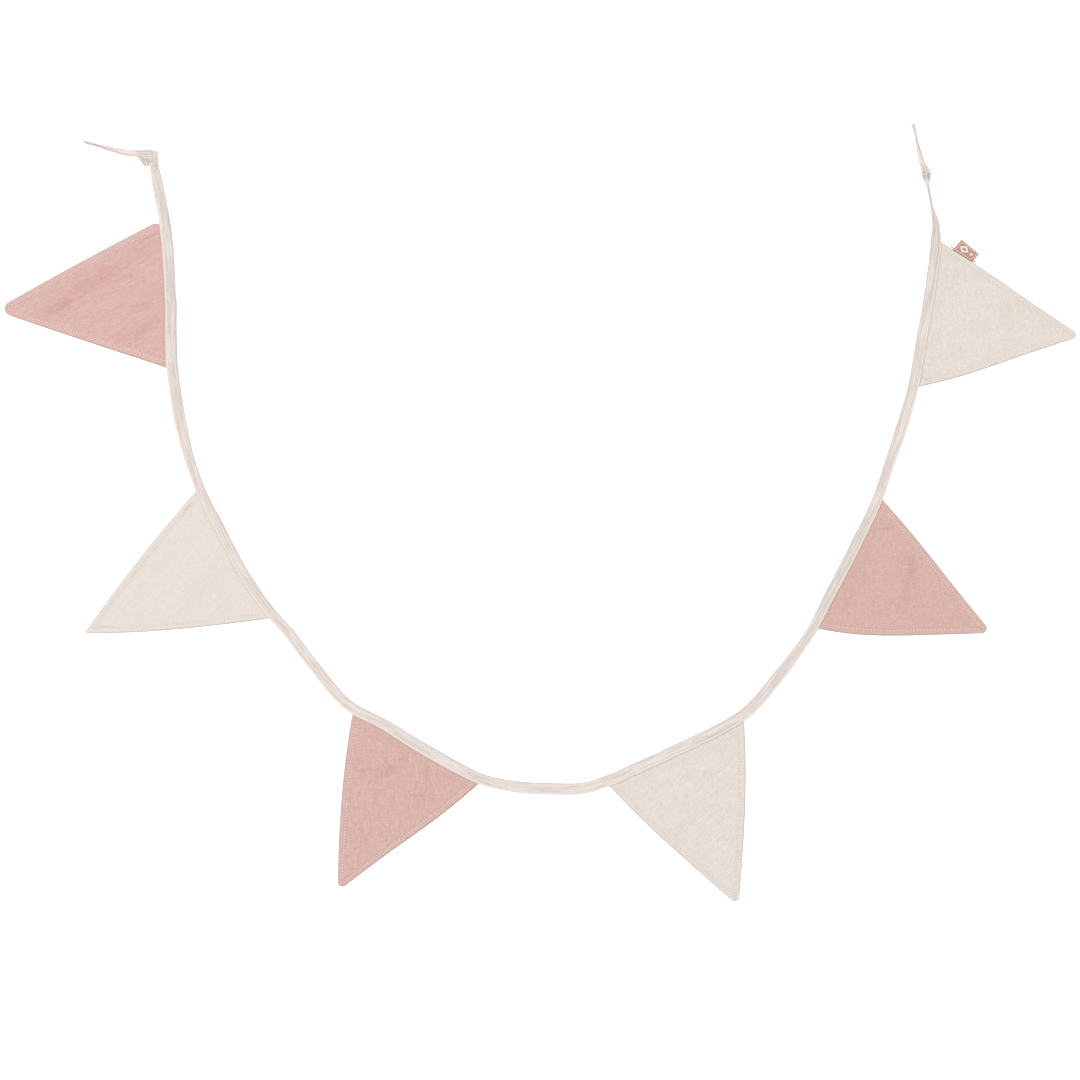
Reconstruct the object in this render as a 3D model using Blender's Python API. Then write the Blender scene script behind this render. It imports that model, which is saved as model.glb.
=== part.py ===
"""Bunting: six turned cloth pennants held in a folded binding tape that ends in knotted loops, laid out flat."""
import math
from collections import namedtuple

import bmesh
import bpy
import numpy as np
from mathutils import Vector

MM = 0.001

# Driving dimensions, in millimetres
GAP = 0.3                # room left between pieces that touch in the real thing
TAPE_LAYER = 1.0         # one layer of the folded tape
TAPE_RING_STEP = 14.0    # most length of tape between two sections
TURN_STEP = 7.0          # most degrees by which the tape turns on its edge between two sections
GRIP_DEPTH = 9.0         # how far a pennant's top edge goes into the tape
GRIP_RAMP = 9.0          # length over which the tape closes again beside a pennant
GRIPPED_THICK = 1.2      # pennant where the tape holds it
BODY_THICK = 2.0         # pennant in its middle
SEAM_THICK = 2.6         # pennant between its stitch line and its edge, where the seam is folded inside
GROOVE_THICK = 1.7       # pennant under its stitch line
EDGE_THICK = 2.1         # pennant at its very edge
STITCH_INSET = 6.0       # stitch line from the edge
CLEAR_OF_TAPE = 0.8      # a pennant starts to fan out this far from the tape's open edge
SETTLE_LENGTH = 13.0     # a pennant leaves the raised tape and reaches the table within this
STRAND_THICK = 1.4       # tape drawn tight in the end loops
STRAND_GAP = 0.4         # between the two strands of a loop
LOOP_RING_STEP = 9.0     # most length of a loop between two sections
STRAP_THICK = 2.0        # strap of tape round a knot
CUT_THICK = 1.3          # cut end of the tape
TOOTH_DEEP = 1.5         # notches in the cut end
KNOT_SEAT = 0.43         # height of a knot's middle as a share of its own height: what is lower is pressed flat
LABEL_LONG = 24.6        # label along the seam
LABEL_OUT = 15.0         # label past the seam
LABEL_ROOT = 4.0         # label inside the seam
LABEL_THICK = 1.0
LABEL_SKEW = 2.2         # the label's outer side lies this far towards the tip
LABEL_PLACE = 0.156      # middle of the label, as a share of the way down the pennant's second side
SHARP_ANGLE = 35.0       # degrees between two faces from which their edge is a crease

# Thickness of a pennant at each distance from its sewn edges: a folded seam, the stitch line, then the body
Seam = namedtuple("Seam", "margin thick")
SEAM_PROFILE = [
    Seam(0.0, EDGE_THICK),
    Seam(1.5, SEAM_THICK),
    Seam(STITCH_INSET - 1.5, SEAM_THICK),
    Seam(STITCH_INSET, GROOVE_THICK),
    Seam(STITCH_INSET + 2.0, BODY_THICK),
]
MIDDLE_COLUMNS = 5                  # columns of points between the two seams
TOP_ROWS = (4.0, 8.0)               # rows of points beside the tape, measured out from it
BODY_ROWS = 9                       # rows down to the tip
TIP_ROWS = (7.0, 4.0, 1.5, 0.0)     # rows at the tip, measured back from it
SWELL_SIDEWAYS = 0.22               # unevenness of the body from side to side
SWELL_DOWN = 0.18                   # and from the tape to the tip

# The middle of the tape as it lies: millimetres across and up from the middle of the bunting,
# its width, how far it is turned on its edge, and how high it is off the table
Station = namedtuple("Station", "place across up wide turn lift")
ROUTE = [
    Station("left knot", -445.0, 404.0, 9.0, 0, 1.4),
    Station("below left knot", -442.6, 388.0, 11.2, 0, 0.0),
    Station("pennant 1 starts", -432.5, 337.0, 12.2, 0, 0.0),
    Station("pennant 1 middle", -425.3, 250.0, 12.4, 0, 0.0),
    Station("pennant 1 ends", -423.6, 168.0, 13.0, 0, 0.0),
    Station("first bend", -412.7, 97.0, 12.8, 0, 0.0),
    Station("pennant 2 starts", -392.6, 27.0, 12.0, 0, 0.0),
    Station("pennant 2 middle", -353.4, -48.6, 12.0, 0, 0.0),
    Station("pennant 2 ends", -308.0, -117.0, 12.0, 0, 0.0),
    Station("second bend", -262.0, -175.0, 11.0, 8, 0.0),
    Station("pennant 3 starts", -213.0, -226.7, 12.0, 0, 0.0),
    Station("pennant 3 middle", -143.2, -265.3, 12.4, 0, 0.0),
    Station("pennant 3 ends", -69.8, -305.8, 12.0, 0, 0.0),
    Station("lowest bend", 6.0, -317.0, 12.3, 0, 0.0),
    Station("pennant 4 starts", 77.3, -307.5, 12.0, 0, 0.0),
    Station("pennant 4 middle", 154.0, -274.0, 12.0, 0, 0.0),
    Station("pennant 4 ends", 230.7, -235.3, 12.0, 0, 0.0),
    Station("third bend", 274.5, -186.4, 12.3, 0, 0.0),
    Station("pennant 5 starts", 315.2, -130.3, 12.0, 0, 0.0),
    Station("pennant 5 middle", 362.1, -37.5, 11.7, 0, 0.0),
    Station("pennant 5 ends", 388.4, 16.7, 11.7, 0, 0.0),
    Station("fourth bend", 410.6, 84.0, 12.4, -8, 0.0),
    Station("pennant 6 starts", 429.0, 147.0, 12.0, 0, 0.0),
    Station("pennant 6 middle", 443.9, 233.0, 12.0, 0, 0.0),
    Station("pennant 6 upper", 449.3, 272.0, 12.0, 0, 0.0),
    Station("pennant 6 ends", 454.8, 311.3, 12.0, 0, 0.0),
    Station("twist begins", 454.7, 328.0, 10.8, 38, 0.0),
    Station("twist ends", 448.4, 358.0, 11.0, 83, 0.0),
    Station("right knot", 443.5, 386.0, 9.0, 90, 1.2),
]

# Each pennant hangs outwards from two stations of the tape. Its tip lies this far out from the middle of
# its top edge and this far along, and each side bows out a little.
Pennant = namedtuple("Pennant", "name colour out along tip_radius first_bow second_bow swell")
PENNANTS = [
    Pennant("pennant_1", "rose", 182.0, 7.9, 8.2, 1.6, 0.0, 0.9),
    Pennant("pennant_2", "cream", 189.0, -7.0, 2.0, 1.2, 3.5, 2.1),
    Pennant("pennant_3", "rose", 178.5, 0.3, 5.6, 3.1, 1.3, 3.4),
    Pennant("pennant_4", "cream", 181.5, -10.5, 5.6, 1.8, 3.6, 4.2),
    Pennant("pennant_5", "rose", 172.0, 1.3, 5.8, 5.8, 0.6, 5.3),
    Pennant("pennant_6", "cream", 169.0, 1.8, 5.2, 2.2, 0.9, 6.1),
]

# An end loop runs from its knot to its tip. Its two strands lie flat at the knot and stand on edge at the tip.
LOOPS = {
    "left": [
        Station("in the knot", -450.0, 412.0, 8.0, 10, 1.0),
        Station("root", -460.0, 413.5, 9.0, 20, 0.4),
        Station("crease", -491.0, 418.5, 10.0, 73, 0.0),
        Station("tip", -524.6, 425.9, 10.5, 88, 0.0),
    ],
    "right": [
        Station("in the knot", 442.6, 392.0, 7.0, -20, 1.0),
        Station("root", 439.4, 401.0, 7.0, -40, 0.4),
        Station("narrow", 435.9, 413.0, 9.0, -80, 0.0),
        Station("bend", 432.0, 427.0, 10.5, -88, 0.0),
        Station("tip", 428.5, 446.4, 10.5, -89, 0.0),
    ],
}

# A knot is a core with a strap of tape drawn round it and the cut end of the tape sticking out.
# heading is the way its core lies, in degrees from across; sizes are along the core, over it and up
Knot = namedtuple("Knot", "across up heading core_long core_wide core_high strap_at strap_long strap_wide strap_high")
KNOTS = {
    "left": Knot(-451.0, 410.8, 174.0, 20.0, 13.4, 6.4, -6.9, 5.5, 16.5, 7.4),
    "right": Knot(443.0, 390.0, 101.0, 20.0, 10.2, 7.0, 0.4, 6.5, 11.2, 8.0),
}
CutEnd = namedtuple("CutEnd", "across up heading long root_wide end_wide teeth low")
CUT_ENDS = {
    "left": CutEnd(-449.5, 407.5, 215.0, 11.5, 8.0, 13.0, 3, 1.6),
    "right": CutEnd(444.0, 392.5, 16.0, 6.0, 4.5, 6.0, 2, 2.0),
}

# Colour, roughness and metallic value of each material
FINISHES = {
    "rose": ((0.72, 0.47, 0.42), 0.9, 0.0),
    "cream": ((0.82, 0.75, 0.69), 0.9, 0.0),
    "tape": ((0.80, 0.74, 0.70), 0.85, 0.0),
    "label": ((0.60, 0.33, 0.28), 0.8, 0.0),
}


def clear_scene():
    for thing in list(bpy.data.objects):
        bpy.data.objects.remove(thing, do_unlink=True)


def finish(name):
    """Material with the colour, roughness and metallic value in FINISHES."""
    known = bpy.data.materials.get(name)
    if known:
        return known
    colour, roughness, metallic = FINISHES[name]
    material = bpy.data.materials.new(name)
    material.use_nodes = True
    shader = material.node_tree.nodes["Principled BSDF"]
    shader.inputs["Base Color"].default_value = (*colour, 1.0)
    shader.inputs["Roughness"].default_value = roughness
    shader.inputs["Metallic"].default_value = metallic
    return material


def add_body(name, bm, material):
    """Object made from a closed bmesh in millimetres, with its faces turned outwards."""
    bm.normal_update()
    bmesh.ops.recalc_face_normals(bm, faces=bm.faces)
    bmesh.ops.scale(bm, vec=(MM, MM, MM), verts=bm.verts)
    mesh = bpy.data.meshes.new(name)
    bm.to_mesh(mesh)
    bm.free()
    mesh.materials.append(finish(material))
    body = bpy.data.objects.new(name, mesh)
    bpy.context.scene.collection.objects.link(body)
    return body


def loft(rings, closed=False):
    """Closed bmesh through rings of points: the ends are capped, or the last ring joins the first."""
    bm = bmesh.new()
    loops = [[bm.verts.new(point) for point in ring] for ring in rings]
    pairs = list(zip(loops, loops[1:]))
    if closed:
        pairs.append((loops[-1], loops[0]))
    for one, two in pairs:
        for i in range(len(one)):
            j = (i + 1) % len(one)
            bm.faces.new((one[i], one[j], two[j], two[i]))
    if not closed:
        bm.faces.new(reversed(loops[0]))
        bm.faces.new(loops[-1])
    return bm


def smooth_step(share):
    share = min(1.0, max(0.0, share))
    return share * share * (3.0 - 2.0 * share)


class Route:
    """Smooth curve through the rows of a table, with the other columns worked out at any length along it."""

    def __init__(self, rows):
        self.rows = rows
        self.values = np.array([row[1:] for row in rows], float)
        steps = np.hypot(*np.diff(self.values[:, :2], axis=0).T)
        self.lengths = np.concatenate(([0.0], np.cumsum(steps)))
        slopes = np.diff(self.values, axis=0) / steps[:, None]
        share = (steps[:-1] / (steps[:-1] + steps[1:]))[:, None]
        inner = slopes[:-1] * (1.0 - share) + slopes[1:] * share
        self.slopes = np.vstack((slopes[:1], inner, slopes[-1:]))
        turn_and_lift = slice(3, 5)
        self.slopes[:, turn_and_lift] = 0.0    # these ease from row to row and never pass their values there

    def place(self, name):
        """Length along the route of the row with this name."""
        return self.lengths[[row.place for row in self.rows].index(name)]

    def at(self, length):
        """Across, up, width, turn and lift at a length along the route."""
        i = int(np.clip(np.searchsorted(self.lengths, length) - 1, 0, len(self.lengths) - 2))
        step = self.lengths[i + 1] - self.lengths[i]
        x = (length - self.lengths[i]) / step
        ends = self.values[i] * (1 + 2 * x) * (1 - x) ** 2 + self.values[i + 1] * x * x * (3 - 2 * x)
        pull = self.slopes[i] * step * x * (1 - x) ** 2 + self.slopes[i + 1] * step * x * x * (x - 1)
        return ends + pull

    def heading(self, length):
        """Unit vector along the route, level with the table."""
        reach = 1.0
        before, after = self.at(length - reach), self.at(length + reach)
        return Vector((after[0] - before[0], after[1] - before[1], 0.0)).normalized()

    def stops(self, most):
        """Lengths of all rows, with more between them where they are far apart or the tape turns on its edge."""
        found = [0.0]
        turns = [row.turn for row in self.rows]
        for i, (start, end) in enumerate(zip(self.lengths, self.lengths[1:])):
            count = math.ceil(max((end - start) / most, abs(turns[i + 1] - turns[i]) / TURN_STEP, 1.0))
            found += [start + (end - start) * (k + 1) / count for k in range(count)]
        return found


TAPE = Route(ROUTE)


def inwards(heading):
    """Level direction from the tape towards the inside of the bunting's curve."""
    return Vector((-heading.y, heading.x, 0.0))


def grip_at(length):
    """How far the tape is opened by a pennant at this length: 1 where it holds one, 0 between them."""
    share = 0.0
    for number in range(1, len(PENNANTS) + 1):
        start, end = TAPE.place(f"pennant {number} starts"), TAPE.place(f"pennant {number} ends")
        outside = max(start - length, length - end, 0.0)
        share = max(share, 1.0 - smooth_step((outside - 1.0) / GRIP_RAMP))
    return share


def tape_section(wide, opening):
    """Folded tape as a C: (inwards, up) points, its fold inwards and its open edge outwards."""
    high = 2.0 * TAPE_LAYER + opening
    half = wide / 2.0
    bend = high / 2.0
    fold = [(half - bend + bend * math.cos(a), bend + bend * math.sin(a)) for a in np.radians((-90, -45, 0, 45, 90))]
    inner_end = half - TAPE_LAYER
    return [
        (-half, 0.0), *fold, (-half, high),
        (-half, high - TAPE_LAYER), (inner_end, high - TAPE_LAYER), (inner_end, TAPE_LAYER), (-half, TAPE_LAYER),
    ]


def standing_ring(centre, heading, section, turn):
    """Section turned about the tape's length, with its lowest point at the height of its centre."""
    inward = inwards(heading)
    middle = sum(v for _, v in section) / len(section)
    c, s = math.cos(math.radians(turn)), math.sin(math.radians(turn))
    turned = [(u * c - (v - middle) * s, u * s + (v - middle) * c) for u, v in section]
    lowest = min(v for _, v in turned)
    return [centre + inward * u + Vector((0.0, 0.0, v - lowest)) for u, v in turned]


def tape_strip():
    rings = []
    for length in TAPE.stops(TAPE_RING_STEP):
        across, up, wide, turn, lift = TAPE.at(length)
        opening = GAP + grip_at(length) * (GRIPPED_THICK + GAP)
        centre = Vector((across, up, max(0.0, lift)))
        rings.append(standing_ring(centre, TAPE.heading(length), tape_section(wide, opening), turn))
    return add_body("binding_tape", loft(rings), "tape")


def strand_ring(centre, side, up, wide):
    """Tape drawn tight: a flat section with its corners taken off."""
    half, thick, corner = wide / 2.0, STRAND_THICK / 2.0, STRAND_THICK / 3.0
    points = [
        (half, -thick + corner), (half, thick - corner), (half - corner, thick), (corner - half, thick),
        (-half, thick - corner), (-half, corner - thick), (corner - half, -thick), (half - corner, -thick),
    ]
    return [centre + side * a + up * b for a, b in points]


def loop_strands(name, rows):
    """Both strands of an end loop: out from the knot, round the tip and back."""
    route = Route(rows)
    end = route.lengths[-1]
    apart = (STRAND_THICK + STRAND_GAP) / 2.0

    def frame(length):
        across, up, wide, turn, lift = route.at(length)
        heading = route.heading(length)
        angle = math.radians(turn)
        side = inwards(heading) * math.cos(angle) + Vector((0, 0, math.sin(angle)))
        normal = heading.cross(side)
        height = abs(side.z) * wide / 2.0 + abs(normal.z) * (apart + STRAND_THICK / 2.0)
        return Vector((across, up, height + max(0.0, lift))), heading, side, normal, wide

    lengths = route.stops(LOOP_RING_STEP)
    rings = []
    for length in lengths:
        centre, heading, side, normal, wide = frame(length)
        rings.append(strand_ring(centre + normal * apart, side, normal, wide))
    centre, heading, side, normal, wide = frame(end)
    for bend in np.radians((45, 90, 135)):
        out = normal * math.cos(bend) + heading * math.sin(bend)
        rings.append(strand_ring(centre + out * apart, side, out, wide))
    for length in reversed(lengths):
        centre, heading, side, normal, wide = frame(length)
        rings.append(strand_ring(centre - normal * apart, side, -normal, wide))
    return add_body(f"loop_{name}", loft(rings), "tape")


def knot_core(name, knot):
    bm = bmesh.new()
    bmesh.ops.create_uvsphere(bm, u_segments=14, v_segments=8, radius=0.5)
    bmesh.ops.scale(bm, vec=(knot.core_long, knot.core_wide, knot.core_high), verts=bm.verts)
    turn_and_move(bm, knot.heading, Vector((knot.across, knot.up, knot.core_high * KNOT_SEAT)))
    return add_body(f"core_{name}", bm, "tape")


def knot_strap(name, knot):
    """Strap of tape round the core: a band along an oval, its width lying along the core."""
    rings = []
    corner = STRAND_THICK / 3.0
    for angle in np.arange(0.0, 2.0 * math.pi, math.pi / 8.0):
        outwards = Vector((0.0, math.cos(angle), math.sin(angle)))
        reach = Vector((0.0, outwards.y * knot.strap_wide / 2.0, outwards.z * knot.strap_high / 2.0))
        inner = reach - outwards * STRAP_THICK
        half = Vector((knot.strap_long / 2.0, 0.0, 0.0))
        soft = Vector((corner, 0.0, 0.0))
        rings.append([inner - half, inner + half, reach + half - soft, reach - half + soft])
    bm = loft(rings, closed=True)
    forward = Vector((math.cos(math.radians(knot.heading)), math.sin(math.radians(knot.heading)), 0.0))
    middle = Vector((knot.across, knot.up, knot.strap_high * KNOT_SEAT)) + forward * knot.strap_at
    turn_and_move(bm, knot.heading, middle)
    return add_body(f"strap_{name}", bm, "tape")


def cut_end(name, end):
    """Short free end of the tape, cut with teeth, fanned out from its root."""
    edge = []
    for k in range(2 * end.teeth + 1):
        sideways = (k / (2.0 * end.teeth) - 0.5) * end.end_wide
        edge.append((end.long - (TOOTH_DEEP if k % 2 else 0.0), sideways))
    outline = [(0.0, -end.root_wide / 2.0), *edge, (0.0, end.root_wide / 2.0)]
    bm = bmesh.new()
    under = bm.faces.new([bm.verts.new((x, y, end.low * (1.0 - x / end.long))) for x, y in outline])
    top = bmesh.ops.extrude_face_region(bm, geom=[under])
    raised = [item for item in top["geom"] if isinstance(item, bmesh.types.BMVert)]
    bmesh.ops.translate(bm, vec=(0.0, 0.0, CUT_THICK), verts=raised)
    turn_and_move(bm, end.heading, Vector((end.across, end.up, 0.0)))
    return add_body(f"cut_end_{name}", bm, "tape")


def turn_and_move(bm, degrees, where):
    angle = math.radians(degrees)
    c, s = math.cos(angle), math.sin(angle)
    for vert in bm.verts:
        x, y, z = vert.co
        vert.co = (x * c - y * s + where.x, x * s + y * c + where.y, z + where.z)


def table_slab(middle):
    """Block under a knot, its top at the height of the table."""
    size = 60.0
    bm = bmesh.new()
    bmesh.ops.create_cube(bm, size=size)
    bmesh.ops.translate(bm, vec=(middle.across, middle.up, -size / 2.0), verts=bm.verts)
    return add_body("slab", bm, "tape")


def apply_boolean(body, other, operation):
    """Join or cut a body with another, which is then removed."""
    modifier = body.modifiers.new(operation.lower(), "BOOLEAN")
    modifier.operation = operation
    modifier.solver = "EXACT"
    modifier.object = other
    bpy.context.view_layer.update()
    evaluated = body.evaluated_get(bpy.context.evaluated_depsgraph_get())
    mesh = bpy.data.meshes.new_from_object(evaluated)
    body.modifiers.clear()
    body.data = mesh
    bpy.data.objects.remove(other, do_unlink=True)


def tied_knot(side):
    """Core, strap, cut end and loop of one end of the tape, in one piece and flat underneath."""
    knot = knot_core(side, KNOTS[side])
    apply_boolean(knot, knot_strap(side, KNOTS[side]), "UNION")
    apply_boolean(knot, cut_end(side, CUT_ENDS[side]), "UNION")
    apply_boolean(knot, loop_strands(side, LOOPS[side]), "UNION")
    apply_boolean(knot, table_slab(KNOTS[side]), "DIFFERENCE")
    return knot


def binding_tape():
    """The whole tape: the strip that holds the pennants and a knotted loop at each end, in one piece."""
    tape = tape_strip()
    for side in LOOPS:
        apply_boolean(tape, tied_knot(side), "UNION")
    return tape


class PennantShape:
    """Places on one pennant: u runs along its top edge and d is the distance out from the tape's open edge."""

    def __init__(self, number, size):
        self.size = size
        self.start = TAPE.place(f"pennant {number} starts")
        self.end = TAPE.place(f"pennant {number} ends")
        first, last = self.tape_edge(0.0, CLEAR_OF_TAPE), self.tape_edge(1.0, CLEAR_OF_TAPE)
        self.along = (last - first).normalized()
        self.out = Vector((self.along.y, -self.along.x, 0.0))
        middle = (first + last) / 2.0
        self.tip_centre = middle + self.out * (size.out - size.tip_radius) + self.along * size.along
        self.length = size.out
        self.first_turn = self.tangent(first, -1.0)
        self.last_turn = self.tangent(last, 1.0)

    def tape_edge(self, u, d):
        length = self.start + u * (self.end - self.start)
        across, up, wide = TAPE.at(length)[:3]
        return Vector((across, up, 0.0)) - inwards(TAPE.heading(length)) * (wide / 2.0 + d)

    def tangent(self, corner, side):
        """Angle on the tip's arc, from the way out, at which a straight side from this corner touches it."""
        to_tip = self.tip_centre - corner
        lean = math.atan2(to_tip.dot(self.along), to_tip.dot(self.out))
        return lean + side * math.acos(self.size.tip_radius / to_tip.length)

    def tip(self, u):
        angle = self.first_turn + u * (self.last_turn - self.first_turn)
        return self.tip_centre + (self.out * math.cos(angle) + self.along * math.sin(angle)) * self.size.tip_radius

    def place(self, u, d):
        if d <= CLEAR_OF_TAPE:
            return self.tape_edge(u, d)
        share = (d - CLEAR_OF_TAPE) / (self.length - CLEAR_OF_TAPE)
        straight = self.tape_edge(u, CLEAR_OF_TAPE).lerp(self.tip(u), share)
        bow = self.size.second_bow * u ** 2 - self.size.first_bow * (1.0 - u) ** 2
        return straight + self.along * bow * 4.0 * share * (1.0 - share)

    def width(self, d):
        return (self.place(1.0, d) - self.place(0.0, d)).length

    def rises(self, u, d, margin):
        """Heights of the underside and the top at a place that lies margin from the nearest edge."""
        beyond = d - CLEAR_OF_TAPE
        under = (TAPE_LAYER + GAP) * (1.0 - smooth_step(beyond / SETTLE_LENGTH))
        sideways = SWELL_SIDEWAYS * math.sin(u * 5.0 + self.size.swell)
        down = SWELL_DOWN * math.sin(d / 18.0 + 2.0 * self.size.swell)
        inside = smooth_step((margin - STITCH_INSET) / (2.0 * STITCH_INSET))
        profile = np.interp(margin, [row.margin for row in SEAM_PROFILE], [row.thick for row in SEAM_PROFILE])
        free = profile + (sideways + down) * inside
        thick = GRIPPED_THICK + (free - GRIPPED_THICK) * smooth_step(beyond / STITCH_INSET)
        return under, under + thick


def pennant(number, size):
    """One turned pennant, as rings of points along its top and back along its underside, from tape to tip."""
    shape = PennantShape(number, size)
    settled = CLEAR_OF_TAPE + SETTLE_LENGTH
    body_rows = np.linspace(settled, size.out - TIP_ROWS[0] - TIP_ROWS[1], BODY_ROWS)
    rows = [-GRIP_DEPTH, CLEAR_OF_TAPE, *TOP_ROWS, *body_rows, *(size.out - back for back in TIP_ROWS)]
    tops, unders = [], []
    for d in rows:
        wide = shape.width(d)
        seams = SEAM_PROFILE[-1].margin
        squeeze = min(1.0, wide / (2.6 * seams))
        side = [row.margin * squeeze for row in SEAM_PROFILE]
        middle = np.linspace(side[-1], wide - side[-1], MIDDLE_COLUMNS + 2)[1:-1]
        spots = side + list(middle) + [wide - margin for margin in reversed(side)]
        top, under = [], []
        for spot in spots:
            u = spot / wide
            margin = min(spot, wide - spot, size.out - d)
            low, high = shape.rises(u, d, margin)
            point = shape.place(u, d)
            top.append((point.x, point.y, high))
            under.append((point.x, point.y, low))
        tops.append(top)
        unders.append(under)
    rings = [top + list(reversed(under)) for top, under in zip(tops, unders)]
    return add_body(size.name, loft_sheet(rings), size.colour)


def loft_sheet(rings):
    """Loft whose end caps are strips of quads, since its rings are long thin slots."""
    bm = loft(rings)
    caps = [face for face in bm.faces if len(face.verts) > 4]
    bmesh.ops.delete(bm, geom=caps, context="FACES_ONLY")
    bm.verts.ensure_lookup_table()
    size = len(rings[0])
    for first in (0, (len(rings) - 1) * size):
        for i in range(size // 2 - 1):
            a, b = bm.verts[first + i], bm.verts[first + i + 1]
            c, d = bm.verts[first + size - 2 - i], bm.verts[first + size - 1 - i]
            bm.faces.new((a, b, c, d))
    return bm


def label_block(name, shape, grow, root):
    """Label as a folded piece that leaves the second side of a pennant; grow widens it for the slot."""
    middle = shape.length * LABEL_PLACE
    step = LABEL_LONG / 2.0
    before, after = shape.place(1.0, middle - step), shape.place(1.0, middle + step)
    seam = (after - before).normalized()
    out = Vector((-seam.y, seam.x, 0.0))
    if out.dot(shape.along) < 0.0:
        out = -out
    centre = (before + after) / 2.0
    low = (SEAM_THICK - LABEL_THICK) / 2.0 - 0.1
    half = LABEL_LONG / 2.0 + grow
    rings = []
    for reach, lift in ((-root, low), (1.2, low), (LABEL_OUT * 0.5, low * 0.35), (LABEL_OUT, 0.0)):
        skew = seam * LABEL_SKEW * max(0.0, reach) / LABEL_OUT
        ring = []
        for side, rise in ((-half, -grow), (half, -grow), (half, LABEL_THICK + grow), (-half, LABEL_THICK + grow)):
            spot = centre + out * reach + seam * side + skew
            ring.append((spot.x, spot.y, lift + rise))
        rings.append(ring)
    return add_body(name, loft(rings), "label")


def settle_on_origin(bodies):
    """Move every mesh so that the whole bunting's box stands on the origin."""
    corners = np.array([tuple(vert.co) for body in bodies for vert in body.data.vertices])
    low, high = corners.min(axis=0), corners.max(axis=0)
    shift = Vector(((low[0] + high[0]) / 2.0, (low[1] + high[1]) / 2.0, low[2]))
    for body in bodies:
        for vert in body.data.vertices:
            vert.co = vert.co - shift
        body.data.update()


def shade(body):
    """Smooth shading, with a crease where two faces meet sharply."""
    body.data.shade_smooth()
    body.data.set_sharp_from_angle(angle=math.radians(SHARP_ANGLE))


def main():
    clear_scene()
    bodies = [binding_tape()]
    bodies += [pennant(number, size) for number, size in enumerate(PENNANTS, start=1)]
    last = PennantShape(len(PENNANTS), PENNANTS[-1])
    apply_boolean(bodies[-1], label_block("label_slot", last, GAP, LABEL_ROOT + GAP), "DIFFERENCE")
    bodies.append(label_block("label", last, 0.0, LABEL_ROOT))
    settle_on_origin(bodies)
    for body in bodies:
        shade(body)


main()
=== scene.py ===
import math
import bpy
import numpy as np
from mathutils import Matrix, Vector


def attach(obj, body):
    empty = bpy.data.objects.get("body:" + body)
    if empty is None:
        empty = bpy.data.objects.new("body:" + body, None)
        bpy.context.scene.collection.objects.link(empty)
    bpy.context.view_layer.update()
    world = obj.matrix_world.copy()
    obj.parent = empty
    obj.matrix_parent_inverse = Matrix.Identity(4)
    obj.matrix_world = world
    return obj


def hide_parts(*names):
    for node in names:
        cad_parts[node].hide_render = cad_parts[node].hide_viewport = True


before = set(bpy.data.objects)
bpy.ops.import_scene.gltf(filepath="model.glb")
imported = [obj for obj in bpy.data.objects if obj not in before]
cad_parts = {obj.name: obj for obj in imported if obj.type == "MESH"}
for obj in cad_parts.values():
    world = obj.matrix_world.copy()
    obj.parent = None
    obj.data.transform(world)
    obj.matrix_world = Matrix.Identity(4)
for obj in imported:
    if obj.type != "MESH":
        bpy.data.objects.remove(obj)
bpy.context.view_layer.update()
mm = 0.001
tableShift = (0.289, -0.740)       # mm from the middle of the tables below to the frame's origin


# camera, light and floor

studio = {
    "photoWidth": 1.242,           # metres of table across the whole picture
    "photoMiddle": (-0.0003, -0.0318),
    "focusHeight": 0.002,
    "lens": 85.0,
    "sensor": 36.0,
    "clipEnd": 50.0,
    "floorSize": 14.0,
    "floorColour": (0.93, 0.93, 0.93),
    "floorGlow": 0.22,             # lit from below as well, so that shadows stay faint
    "floorRough": 0.9,
    "skyColour": (1.0, 0.995, 0.985, 1.0),
    "skyStrength": 0.92,
    "lampPlace": (-1.5, 1.7, 5.0),
    "lampAim": (0.0, -0.05, 0.0),
    "lampSize": 3.4,
    "lampPower": 138.0,
}


def setCamera():
    data = bpy.data.cameras.new("photoCamera")
    data.lens = studio["lens"]
    data.sensor_width = studio["sensor"]
    data.clip_end = studio["clipEnd"]
    camera = bpy.data.objects.new("photoCamera", data)
    bpy.context.scene.collection.objects.link(camera)
    away = studio["photoWidth"] * studio["lens"] / studio["sensor"]
    camera.location = (*studio["photoMiddle"], studio["focusHeight"] + away)
    camera.rotation_euler = (0.0, 0.0, 0.0)      # straight down, the photo's up is +Y
    bpy.context.scene.camera = camera


def setLights():
    world = bpy.data.worlds.new("softSky")
    bpy.context.scene.world = world
    world.use_nodes = True
    sky = world.node_tree.nodes["Background"]
    sky.inputs["Color"].default_value = studio["skyColour"]
    sky.inputs["Strength"].default_value = studio["skyStrength"]
    lamp = bpy.data.lights.new("softBox", "AREA")
    lamp.shape = "SQUARE"
    lamp.size = studio["lampSize"]
    lamp.energy = studio["lampPower"]
    box = bpy.data.objects.new("softBox", lamp)
    bpy.context.scene.collection.objects.link(box)
    box.location = studio["lampPlace"]
    aim = Vector(studio["lampAim"]) - Vector(studio["lampPlace"])
    box.rotation_euler = aim.to_track_quat("-Z", "Y").to_euler()
    bpy.context.scene.view_settings.view_transform = "Standard"


setCamera()
setLights()
print("camera and light set")


# shader maths: a wire is one socket, and sums on wires add Math nodes

def plug(node, inputs):                    # wires are linked, plain values are set
    for name, value in inputs.items():
        if isinstance(value, Wire):
            value.tree.links.new(value.socket, node.inputs[name])
        else:
            node.inputs[name].default_value = value


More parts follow.
